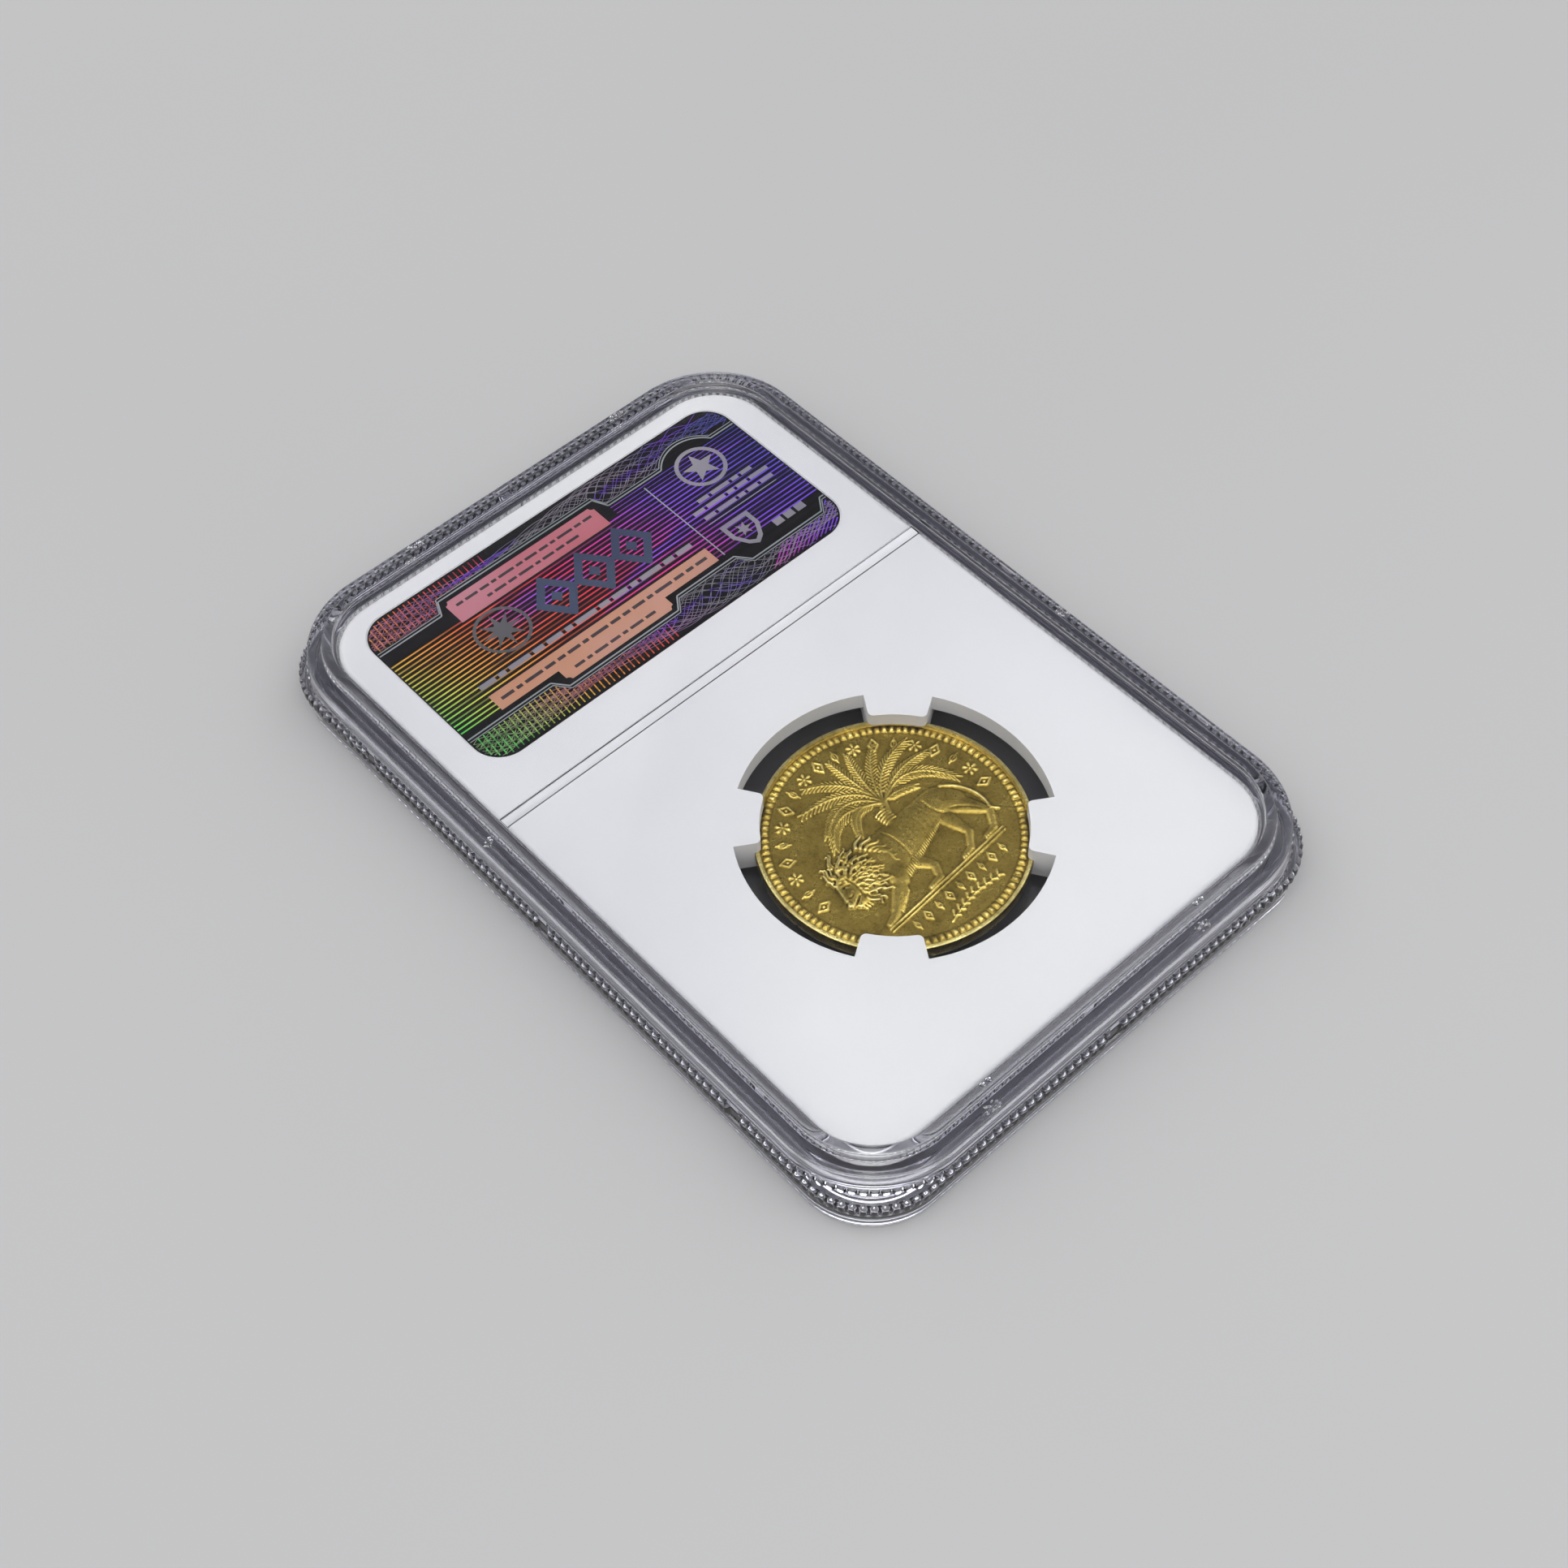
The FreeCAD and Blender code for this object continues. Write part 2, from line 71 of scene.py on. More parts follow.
# ------------------------------------------------------------------ mesh helpers
class Builder:
    """Collects points and faces of one piece, in millimetres."""

    def __init__(self):
        self.points = []
        self.faces = []

    def add_points(self, points):
        first = len(self.points)
        self.points.extend([tuple(float(c) for c in p) for p in points])
        return first

    def outline_at(self, outline, height):
        return self.add_points([(x, y, height) for x, y in outline])

    def plate(self, outline, low, high):
        """Closed flat plate from an outline of (x, y)."""
        count = len(outline)
        bottom = self.outline_at(outline, low)
        upper = self.outline_at(outline, high)
        self.faces.append([bottom + i for i in reversed(range(count))])
        self.cap(upper, count)
        self.join(bottom, count, upper, count)

    def hoop(self, outer, inner, low, high):
        """Closed flat ring between two outlines with the same number of points."""
        count = len(outer)
        corners = [self.outline_at(outer, low), self.outline_at(outer, high),
                   self.outline_at(inner, high), self.outline_at(inner, low)]
        for k in range(4):
            self.join(corners[k], count, corners[(k + 1) % 4], count)

    def ribbon(self, line, wide, low, high):
        """Closed thin strip along a line of (x, y)."""
        line = np.asarray(line, float)
        if len(line) < 2:
            return
        along = np.gradient(line, axis=0)
        along /= np.maximum(np.linalg.norm(along, axis=1, keepdims=True), 1e-9)
        side = np.stack([-along[:, 1], along[:, 0]], axis=1) * wide / 2
        left = line + side
        right = line - side
        corners = [self.outline_at(right, low), self.outline_at(right, high),
                   self.outline_at(left, high), self.outline_at(left, low)]
        for k in range(4):
            a = corners[k]
            b = corners[(k + 1) % 4]
            for i in range(len(line) - 1):
                self.faces.append([a + i, b + i, b + i + 1, a + i + 1])
        last = len(line) - 1
        self.faces.append(corners)
        self.faces.append([c + last for c in reversed(corners)])

    def cap(self, start, count):
        self.faces.append([start + i for i in range(count)])

    def rings(self, loops):
        """Joins a row of closed loops.  A loop may have three times the points of its neighbour."""
        starts = [self.add_points(loop) for loop in loops]
        for k in range(len(loops) - 1):
            self.join(starts[k], len(loops[k]), starts[k + 1], len(loops[k + 1]))
        return starts

    def join(self, a, count_a, b, count_b):
        if count_a == count_b:
            for i in range(count_a):
                j = (i + 1) % count_a
                self.faces.append([a + i, a + j, b + j, b + i])
            return
        swap = count_a > count_b
        coarse, fine = (b, a) if swap else (a, b)
        few = min(count_a, count_b)
        many = max(count_a, count_b)
        for i in range(few):
            j = (i + 1) % few
            f = [fine + (3 * i + k) % many for k in range(4)]
            patch = [
                [coarse + i, f[1], f[0]],
                [coarse + i, coarse + j, f[2], f[1]],
                [coarse + j, f[3], f[2]],
            ]
            for face in patch:
                self.faces.append(face[::-1] if swap else face)


def finish_mesh(name, builder, material, body, sharp=40.0):
    """Makes the piece, turns its faces outwards, and lets it ride on its body."""
    mesh = bpy.data.meshes.new(name)
    points = [(x * MM, y * MM, z * MM) for x, y, z in builder.points]
    mesh.from_pydata(points, [], builder.faces)
    work = bmesh.new()
    work.from_mesh(mesh)
    bmesh.ops.recalc_face_normals(work, faces=work.faces)
    work.to_mesh(mesh)
    work.free()
    mesh.shade_smooth()
    mesh.set_sharp_from_angle(angle=math.radians(sharp))
    piece = bpy.data.objects.new(name, mesh)
    bpy.context.scene.collection.objects.link(piece)
    mesh.materials.append(material)
    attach(piece, body)
    return piece


def heading(angle):
    """Unit vector at an angle from the X axis."""
    return np.array([math.cos(angle), math.sin(angle)])


def left_of(way):
    """The vector a quarter turn to the left."""
    return np.array([-way[1], way[0]])


def rounded_outline(wide, long, corner, counts):
    """Rounded rectangle about the origin, as points and outward normals.

    wide and long are half sizes; counts is the number of points on a short side, a
    long side and a corner."""
    across, along, turn = counts
    points = []
    normals = []
    for quarter in range(4):
        start = quarter * math.pi / 2
        out = heading(start)
        side = left_of(out)
        upright = quarter % 2 == 0
        reach = wide if upright else long
        flat = (long if upright else wide) - corner
        steps = along if upright else across
        for k in range(steps):
            points.append(reach * out + (2 * k / steps - 1) * flat * side)
            normals.append(out)
        middle = (reach - corner) * out + flat * side
        for k in range(turn):
            angle = start + math.pi / 2 * k / turn
            way = heading(angle)
            points.append(middle + corner * way)
            normals.append(way)
    return np.array(points), np.array(normals)


def smooth_step(value, low, high):
    t = np.clip((value - low) / (high - low), 0.0, 1.0)
    return t * t * (3 - 2 * t)


# ------------------------------------------------------------------ node helpers
def new_material(name):
    material = bpy.data.materials.new(name)
    material.use_nodes = True
    return material, material.node_tree, material.node_tree.nodes["Principled BSDF"]


def add_node(tree, kind, **settings):
    node = tree.nodes.new(kind)
    for key, value in settings.items():
        setattr(node, key, value)
    return node


def place(tree, scale=(1.0, 1.0, 1.0), turn=0.0):
    """Object coordinates, scaled and turned about Z."""
    coords = add_node(tree, "ShaderNodeTexCoord")
    mapping = add_node(tree, "ShaderNodeMapping")
    mapping.inputs["Scale"].default_value = scale
    mapping.inputs["Rotation"].default_value = (0.0, 0.0, turn)
    tree.links.new(coords.outputs["Object"], mapping.inputs["Vector"])
    return mapping.outputs["Vector"]


def noise(tree, vector, scale, detail=3.0, rough=0.5):
    node = add_node(tree, "ShaderNodeTexNoise")
    node.inputs["Scale"].default_value = scale
    node.inputs["Detail"].default_value = detail
    node.inputs["Roughness"].default_value = rough
    tree.links.new(vector, node.inputs["Vector"])
    return node.outputs["Fac"]


def ramp(tree, factor, stops):
    """Colour ramp; stops are (place, colour) or (place, grey level)."""
    node = add_node(tree, "ShaderNodeValToRGB")
    elements = node.color_ramp.elements
    while len(elements) < len(stops):
        elements.new(0.5)
    for element, (spot, colour) in zip(elements, stops):
        if isinstance(colour, float):
            colour = (colour, colour, colour)
        element.position = spot
        element.color = (*colour, 1.0)
    tree.links.new(factor, node.inputs["Fac"])
    return node.outputs["Color"]


def two_tone(tree, factor, first, second):
    return ramp(tree, factor, [(0.3, first), (0.7, second)])


def level(tree, factor, low, high, from_low=0.0, from_high=1.0):
    node = add_node(tree, "ShaderNodeMapRange")
    node.inputs["From Min"].default_value = from_low
    node.inputs["From Max"].default_value = from_high
    node.inputs["To Min"].default_value = low
    node.inputs["To Max"].default_value = high
    tree.links.new(factor, node.inputs["Value"])
    return node.outputs["Result"]


def mix(tree, factor, first, second, blend="MIX"):
    node = add_node(tree, "ShaderNodeMix", data_type="RGBA", blend_type=blend)
    if isinstance(factor, float):
        node.inputs["Factor"].default_value = factor
    else:
        tree.links.new(factor, node.inputs["Factor"])
    tree.links.new(first, node.inputs["A"])
    tree.links.new(second, node.inputs["B"])
    return node.outputs["Result"]


def bump(tree, shader, height, strength, distance):
    node = add_node(tree, "ShaderNodeBump")
    node.inputs["Strength"].default_value = strength
    node.inputs["Distance"].default_value = distance
    tree.links.new(height, node.inputs["Height"])
    tree.links.new(node.outputs["Normal"], shader.inputs["Normal"])


def axis_value(tree, vector, axis):
    node = add_node(tree, "ShaderNodeSeparateXYZ")
    tree.links.new(vector, node.inputs["Vector"])
    return node.outputs[axis]


# --------------------------------------------------------------------- materials
def clear_plastic():
    material, tree, shader = new_material("clear_plastic")
    shader.inputs["Transmission Weight"].default_value = 1.0
    shader.inputs["IOR"].default_value = 1.57
    shader.inputs["Specular IOR Level"].default_value = 0.38
    broad = noise(tree, place(tree), 60.0)
    thin = two_tone(tree, broad, (0.98, 0.985, 0.99), (0.99, 0.99, 1.0))
    deep = two_tone(tree, broad, (0.73, 0.73, 0.80), (0.80, 0.80, 0.86))
    edge = add_node(tree, "ShaderNodeAttribute", attribute_name="edge")
    tint = mix(tree, edge.outputs["Fac"], thin, deep)
    tree.links.new(tint, shader.inputs["Base Color"])
    scuffs = noise(tree, place(tree, (40.0, 900.0, 200.0), 0.6), 3.0, 5.0)
    tree.links.new(level(tree, scuffs, 0.0, 0.05, 0.5, 0.8), shader.inputs["Roughness"])
    return material


def white_insert():
    material, tree, shader = new_material("white_insert")
    broad = noise(tree, place(tree), 35.0, 2.0)
    tint = two_tone(tree, broad, (0.90, 0.905, 0.92), (0.925, 0.93, 0.945))
    tree.links.new(tint, shader.inputs["Base Color"])
    grain = noise(tree, place(tree), 2500.0, 4.0)
    tree.links.new(level(tree, grain, 0.60, 0.75), shader.inputs["Roughness"])
    shader.inputs["Specular IOR Level"].default_value = 0.3
    bump(tree, shader, grain, 0.12, 0.00004)
    return material


def struck_gold():
    material, tree, shader = new_material("gold")
    shader.inputs["Metallic"].default_value = 1.0
    # Tone per point, from dark to bright gold: patina and wear, and also painted shade in the hollows
    # and painted highlights on the ridges, bead tops and flat rim.
    wear_and_painted_shade = add_node(tree, "ShaderNodeAttribute", attribute_name="wear_and_painted_shade")
    patina_and_painted_shade = ramp(tree, wear_and_painted_shade.outputs["Fac"],
                  [(0.0, (0.13, 0.09, 0.018)), (0.40, (0.47, 0.34, 0.07)),
                   (0.60, (0.76, 0.59, 0.16)), (1.0, (1.0, 0.90, 0.42))])
    clouds = noise(tree, place(tree), 380.0, 8.0, 0.68)
    stain = ramp(tree, clouds, [(0.32, (0.42, 0.40, 0.32)), (0.46, (0.78, 0.76, 0.70)),
                                (0.60, (1.0, 1.0, 1.0))])
    specks = noise(tree, place(tree), 4200.0, 3.0, 0.6)
    pits = ramp(tree, specks, [(0.28, (0.60, 0.57, 0.48)), (0.48, (1.0, 1.0, 1.0))])
    tint = mix(tree, 1.0, mix(tree, 1.0, patina_and_painted_shade, stain, "MULTIPLY"), pits, "MULTIPLY")
    tree.links.new(tint, shader.inputs["Base Color"])
    grain = noise(tree, place(tree), 3600.0, 5.0, 0.7)
    tree.links.new(level(tree, clouds, 0.38, 0.22, 0.3, 0.7), shader.inputs["Roughness"])
    bump(tree, shader, grain, 0.7, 0.00007)
    return material


def foil_base():
    material, tree, shader = new_material("foil_base")
    shader.inputs["Metallic"].default_value = 0.5
    streaks = noise(tree, place(tree, (60.0, 2600.0, 60.0)), 1.0, 3.0)
    tint = ramp(tree, streaks, [(0.3, (0.003, 0.003, 0.005)), (0.75, (0.014, 0.011, 0.017))])
    tree.links.new(tint, shader.inputs["Base Color"])
    tree.links.new(level(tree, streaks, 0.32, 0.5), shader.inputs["Roughness"])
    return material


def rainbow(name, stops, gain, metallic):
    """Foil print with painted diffraction colours, a painted reflection that runs along the label,
    broken up by fine streaks.
    """
    material, tree, shader = new_material(name)
    shader.inputs["Metallic"].default_value = metallic
    vector = place(tree)
    across = axis_value(tree, vector, "X")
    up = axis_value(tree, vector, "Y")
    lean = 0.7     # how much a point's height on the label shifts its colour
    spread = 1.17  # the stops reach a little past the ends of the label
    slope = add_node(tree, "ShaderNodeMath", operation="MULTIPLY_ADD")
    slope.inputs[1].default_value = lean
    tree.links.new(up, slope.inputs[0])
    tree.links.new(across, slope.inputs[2])
    half = LABEL_WIDE * MM * spread
    middle = LABEL_Y * MM * lean
    place_along = level(tree, slope.outputs["Value"], 0.0, 1.0, middle - half, middle + half)
    # Painted glints: violet diffraction flashes laid over the colours along slanting streaks.
    flashes = noise(tree, place(tree, (60.0, 520.0, 1.0), -0.2), 1.0, 2.0)
    violet = ramp(tree, flashes, [(0.5, (0.08, 0.05, 1.0)), (0.7, (0.42, 0.10, 1.0))])
    burst = ramp(tree, flashes, [(0.54, 0.0), (0.62, 0.9)])
    inner = ramp(tree, place_along, [(0.28, 0.0), (0.42, 1.0)])
    hue = mix(tree, mix(tree, 1.0, burst, inner, "MULTIPLY"), ramp(tree, place_along, stops), violet)
    streaks = noise(tree, place(tree, (90.0, 1900.0, 1.0), 0.35), 1.0, 2.0)
    light = ramp(tree, streaks, [(0.36, gain[0]), (0.52, gain[1]), (0.7, gain[2])])
    tree.links.new(mix(tree, 1.0, hue, light, "MULTIPLY"), shader.inputs["Base Color"])
    tree.links.new(level(tree, streaks, 0.45, 0.3), shader.inputs["Roughness"])
    return material


def printed(name, first, second, metallic=0.0, scale=70.0, rough=(0.4, 0.55)):
    """Plain ink or foil in two close tones."""
    material, tree, shader = new_material(name)
    shader.inputs["Metallic"].default_value = metallic
    cloud = noise(tree, place(tree), scale, 3.0)
    tint = two_tone(tree, cloud, first, second)
    tree.links.new(tint, shader.inputs["Base Color"])
    grain = noise(tree, place(tree), 3000.0, 2.0)
    tree.links.new(level(tree, grain, *rough), shader.inputs["Roughness"])
    return material


def pale_floor():
    material, tree, shader = new_material("pale_floor")
    cloud = noise(tree, place(tree), 4.0, 3.0)
    tint = two_tone(tree, cloud, (0.31, 0.31, 0.315), (0.33, 0.33, 0.335))
    tree.links.new(tint, shader.inputs["Base Color"])
    shader.inputs["Roughness"].default_value = 0.7
    return material


# ------------------------------------------------------------------ clear shells
CAVITY_INSET = 3.5
CAVITY_CORNER = 6.4
CEILING_ROUND = 0.1
REAR_CORNER = 10.5
FRONT_CORNER = 8.0
REAR_FLANGE_HIGH = 1.2
FRONT_FLANGE_HIGH = 1.6
SHOULDER = weld + 3.15
WINDOW_SINK = 0.5
WINDOW_THICK = 1.15
WELD_LAP = 0.005  # the weld fuses the shells, so their faces overlap by a hair there
TONGUE = (1.30, 2.10)
TONGUE_DEEP = 0.80
ROW_GAP = 0.13
BEAD_RISE = 0.38
BEAD_HALF = 0.46
BEAD_STEPS = 10
SAMPLES = 9
BAR_AT = 9.4
BAR_HALF = 0.575


def shell_loop(inset, height, corner, beads, fine=False, swell=0.0):
    """One closed loop round the slab.  beads is the bead count on a short side, a long
    side and a corner; swell lifts a fine loop out into beads."""
    samples = SAMPLES if fine else SAMPLES // 3
    counts = [count * samples for count in beads]
    points, normals = rounded_outline(half_wide - inset, half_long - inset, corner, counts)
    if swell > 0:
        offset = (np.arange(len(points)) / samples + 0.5) % 1.0 - 0.5
        bead = np.sqrt(np.maximum(swell ** 2 - (offset / BEAD_HALF) ** 2, 0.0))
        points = points + normals * (BEAD_RISE * bead * weld_mark(points))[:, None]
    return np.column_stack([points, np.full(len(points), height)])


def weld_mark(points):
    """0 where the bead rows are broken by a weld mark, 1 elsewhere."""
    x = points[:, 0]
    y = points[:, 1]
    outer_mark = half_long * 0.605
    on_long = np.abs(x) > half_wide - 1
    on_short = np.abs(y) > half_long - 1
    marks = [(on_long, y + outer_mark), (on_long, y), (on_long, y - outer_mark), (on_short, x)]
    keep = np.ones(len(points))
    for on_side, away in marks:
        gap = smooth_step(np.abs(away), 0.5, 1.0)
        keep = np.where(on_side, np.minimum(keep, gap), keep)
    return keep


def bead_row(first, last, corner, beads):
    """Loops of one row of upright beads with rounded ends, from one level to another."""
    loops = []
    for k in range(BEAD_STEPS + 1):
        lift = math.cos(math.pi * k / BEAD_STEPS)
        height = (first + last) / 2 + (first - last) / 2 * lift
        swell = math.sqrt(max(0.0, 1 - lift ** 4))
        loops.append(shell_loop(BEAD_RISE, height, corner - BEAD_RISE, beads, True, swell))
    return loops


def shell_body(corner, beads, outside, row, inner, cavity):
    """One shell, from the rim of its window over the outside, the bead row and the weld
    to the far end of its cavity, which is left open."""
    loops = [shell_loop(inset, z, corner - inset, beads) for inset, z in outside]
    loops += bead_row(*row, corner, beads)
    loops += [shell_loop(inset, z, corner - inset, beads) for inset, z in inner]
    for inset, z in cavity:
        loops.append(shell_loop(inset, z, CAVITY_CORNER + CAVITY_INSET - inset, beads))
    builder = Builder()
    starts = builder.rings(loops)
    builder.cap(starts[0], len(loops[0]))
    return builder, starts[-1], loops[-1]


def rear_shell():
    rim_out = 2.0
    rim_in = 3.05
    glass = top - WINDOW_SINK
    ceiling = glass - WINDOW_THICK
    flange = weld + REAR_FLANGE_HIGH
    under = weld - WELD_LAP
    tip = weld - TONGUE_DEEP
    outside = [
        (3.30, glass), (3.18, glass), (3.09, glass + 0.03), (rim_in, glass + 0.12),
        (rim_in, top - 0.17), (3.00, top - 0.05), (2.90, top), (2.18, top),
        (2.07, top - 0.04), (rim_out, top - 0.13), (1.88, SHOULDER + 0.07),
        (1.83, SHOULDER + 0.01), (1.74, SHOULDER), (0.62, SHOULDER), (0.54, SHOULDER - 0.02),
        (0.48, SHOULDER - 0.07), (0.44, SHOULDER - 0.15), (0.42, SHOULDER - 0.30),
        (0.24, flange + 0.10), (0.22, flange + 0.03),
    ]
    inner = [
        (0.45, under), (TONGUE[0], under), (TONGUE[0], tip + 0.08), (TONGUE[0] + 0.06, tip),
        (TONGUE[1] - 0.06, tip), (TONGUE[1], tip + 0.08), (TONGUE[1], under),
    ]
    cavity = [
        (CAVITY_INSET, under), (CAVITY_INSET, ceiling - CEILING_ROUND),
        (CAVITY_INSET + 0.03, ceiling - 0.03), (CAVITY_INSET + CEILING_ROUND, ceiling),
        (CAVITY_INSET + CEILING_ROUND + 0.04, ceiling),
    ]
    row = (flange - 0.01, weld + ROW_GAP)
    builder, start, loop = shell_body(REAR_CORNER, (40, 67, 17), outside, row, inner, cavity)
    cross_bar_ceiling(builder, start, loop)
    return builder


def cross_bar_ceiling(builder, start, loop):
    """Inside face of the rear window, with the cross bar that drops into the insert."""
    reach = half_wide - CAVITY_INSET - CEILING_ROUND - 0.06
    ceiling = loop[0][2]
    right_side = np.where(loop[:, 0] > reach)[0]
    left_side = np.where(loop[:, 0] < -reach)[0]
    right = int(right_side[np.argmin(np.abs(loop[right_side, 1] - BAR_AT))])
    left = int(left_side[np.argmin(np.abs(loop[left_side, 1] - BAR_AT))])
    hoops = []
    for shrink, drop in ((0.0, 0.0), (0.0, 0.38), (0.03, 0.43), (0.09, 0.46)):
        x = reach - shrink
        half = BAR_HALF - shrink
        corners = [(-x, BAR_AT), (-x, BAR_AT + half), (x, BAR_AT + half),
                   (x, BAR_AT), (x, BAR_AT - half), (-x, BAR_AT - half)]
        hoops.append(builder.add_points([(a, b, ceiling - drop) for a, b in corners]))
    for k in range(len(hoops) - 1):
        builder.join(hoops[k], 6, hoops[k + 1], 6)
    builder.cap(hoops[-1], 6)
    count = len(loop)
    upper = [start + i % count for i in range(right, left + 1)]
    lower = [start + i % count for i in range(left, right + count + 1)]
    bar = hoops[0]
    builder.faces.append(upper + [bar, bar + 1, bar + 2, bar + 3])
    builder.faces.append(lower + [bar + 3, bar + 4, bar + 5, bar])


def dome(builder, middle, radius, high):
    """Small closed dome on a flat face."""
    around = 10
    loops = []
    for tilt in (-60, 0, 35, 65):
        reach = radius * math.cos(math.radians(tilt))
        level_here = middle[2] + high * math.sin(math.radians(tilt))
        loops.append([(middle[0] + reach * math.cos(2 * math.pi * k / around),
                       middle[1] + reach * math.sin(2 * math.pi * k / around), level_here)
                      for k in range(around)])
    starts = builder.rings(loops)
    builder.cap(starts[0], around)
    builder.cap(starts[-1], around)


def rear_marks():
    """Weld marks: clusters of small domes on the shelf and paired domes on the rim."""
    builder = Builder()
    random = np.random.default_rng(3)
    shelf = half_long - 1.15
    clusters = [(-14.6, -shelf, 0.85), (11.7, -shelf, 0.85), (-(half_wide - 1.1), 8.35, 0.6),
                (14.6, shelf, 0.85), (-11.7, shelf, 0.85), (half_wide - 1.1, -8.35, 0.6)]
    for x, y, reach in clusters:
        for _ in range(16):
            spot = random.uniform(-1.0, 1.0, 2)
            narrow = np.array([reach, 0.5]) if abs(y) > half_wide else np.array([0.5, reach])
            size = random.uniform(0.10, 0.22)
            dome(builder, (*(np.array([x, y]) + spot * narrow), SHOULDER), size, 0.8 * size)
    beside = half_long - 2.9
    for x in (-13.6, 13.1):
        for side in (-1, 1):
            for shift in (-0.36, 0.36):
                dome(builder, (x + shift, side * beside, top - 0.2), 0.26, 0.16)
    return builder


def front_shell():
    skirt_in = 1.85
    glass = foot + WINDOW_SINK
    floor_in = glass + WINDOW_THICK
    flange = weld - FRONT_FLANGE_HIGH
    over = weld + WELD_LAP
    groove = (TONGUE[0] + 0.02, TONGUE[1] - 0.02)
    bottom = weld - TONGUE_DEEP + 0.02
    outside = [
        (2.10, glass), (1.98, glass), (1.88, glass - 0.03), (skirt_in, glass - 0.10),
        (skirt_in, foot + 0.14), (1.81, foot + 0.04), (1.72, foot), (0.72, foot),
        (0.56, foot + 0.04), (0.43, foot + 0.14), (0.36, foot + 0.32), (0.345, foot + 0.45),
        (0.21, flange - 0.12), (0.205, flange - 0.04),
    ]
    inner = [
        (0.45, over), (groove[0], over), (groove[0], bottom), (groove[1], bottom), (groove[1], over),
    ]
    cavity = [
        (CAVITY_INSET, over), (CAVITY_INSET, floor_in + 0.2), (CAVITY_INSET + 0.04, floor_in + 0.08),
        (CAVITY_INSET + 0.14, floor_in), (CAVITY_INSET + 0.3, floor_in),
    ]
    row = (flange + 0.01, weld - ROW_GAP)
    builder, start, loop = shell_body(FRONT_CORNER, (45, 72, 13), outside, row, inner, cavity)
    builder.cap(start, len(loop))
    return builder


# -------------------------------------------------------------------------- coin
COIN_RADIUS = (coin_high[0] - coin_low[0]) / 2
COIN_MIDDLE = (coin_high + coin_low) / 2
COIN_TURN = math.radians(4.1)
FIELD_DROP = 0.30
RELIEF_GAIN = 1.55
RELIEF_REACH = 11.45
REAR_GRID = 280
FRONT_GRID = 168
BEADS = 112
BEAD_CIRCLE = 12.02
BEAD_WIDE = 0.36
BEAD_HIGH = 0.26


class Relief:
    """Height map of one coin face.  Strokes and petals are raised out of the field."""

    def __init__(self, step=0.04):
        count = int(round(2 * RELIEF_REACH / step)) + 1
        self.step = step
        self.axis = np.linspace(-RELIEF_REACH, RELIEF_REACH, count)
        self.height = np.zeros((count, count))

    def window(self, low, high):
        first = np.searchsorted(self.axis, low)
        last = np.searchsorted(self.axis, high)
        return slice(max(first - 1, 0), last + 1)

    def stroke(self, start, end, start_radius, end_radius, high, base=0.0):
        """Round-backed stroke that tapers from one end to the other."""
        start = np.array(start, float)
        end = np.array(end, float)
        radius = max(start_radius, end_radius)
        columns = self.window(min(start[0], end[0]) - radius, max(start[0], end[0]) + radius)
        rows = self.window(min(start[1], end[1]) - radius, max(start[1], end[1]) + radius)
        x, y = np.meshgrid(self.axis[columns], self.axis[rows])
        if x.size == 0:
            return
        span = end - start
        t = ((x - start[0]) * span[0] + (y - start[1]) * span[1]) / max(span @ span, 1e-9)
        t = np.clip(t, 0.0, 1.0)
        distance = np.hypot(x - start[0] - t * span[0], y - start[1] - t * span[1])
        inside = 1 - (distance / (start_radius + (end_radius - start_radius) * t)) ** 2
        lift = np.where(inside > 0, base + high * np.sqrt(np.maximum(inside, 0.0)), 0.0)
        self.height[rows, columns] = np.maximum(self.height[rows, columns], lift)

    def dot(self, middle, radius, high):
        self.stroke(middle, middle, radius, radius, high)

    def curve(self, points, start_radius, end_radius, high, base=0.0, parts=14):
        """Tapering stroke along a smooth curve through two, three or four control points."""
        line = bezier(points, parts)
        for k in range(parts):
            a = start_radius + (end_radius - start_radius) * k / parts
            b = start_radius + (end_radius - start_radius) * (k + 1) / parts
            self.stroke(line[k], line[k + 1], a, b, high, base)

    def groove(self, points, radius, deep, parts=10):
        """Cuts a soft line into what is already raised."""
        line = bezier(points, parts)
        cut = Relief(self.step)
        for k in range(parts):
            cut.stroke(line[k], line[k + 1], radius, radius, deep)
        self.height = np.maximum(self.height - cut.height, 0.0)

    def soften(self, rounds):
        for _ in range(rounds):
            h = np.pad(self.height, 1, mode="edge")
            self.height = (4 * h[1:-1, 1:-1] + h[:-2, 1:-1] + h[2:, 1:-1]
                           + h[1:-1, :-2] + h[1:-1, 2:]) / 8

    def read(self, x, y, values=None):
        grid = self.height if values is None else values
        column = np.clip((x + RELIEF_REACH) / self.step, 0, grid.shape[1] - 1.001)
        row = np.clip((y + RELIEF_REACH) / self.step, 0, grid.shape[0] - 1.001)
        c = column.astype(int)
        r = row.astype(int)
        u = column - c
        v = row - r
        return ((1 - v) * ((1 - u) * grid[r, c] + u * grid[r, c + 1])
                + v * ((1 - u) * grid[r + 1, c] + u * grid[r + 1, c + 1]))


def bezier(points, parts):
    points = [np.array(p, float) for p in points]
    line = []
    for t in np.linspace(0.0, 1.0, parts + 1):
        row = points
        while len(row) > 1:
            row = [(1 - t) * row[k] + t * row[k + 1] for k in range(len(row) - 1)]
        line.append(row[0])
    return np.array(line)


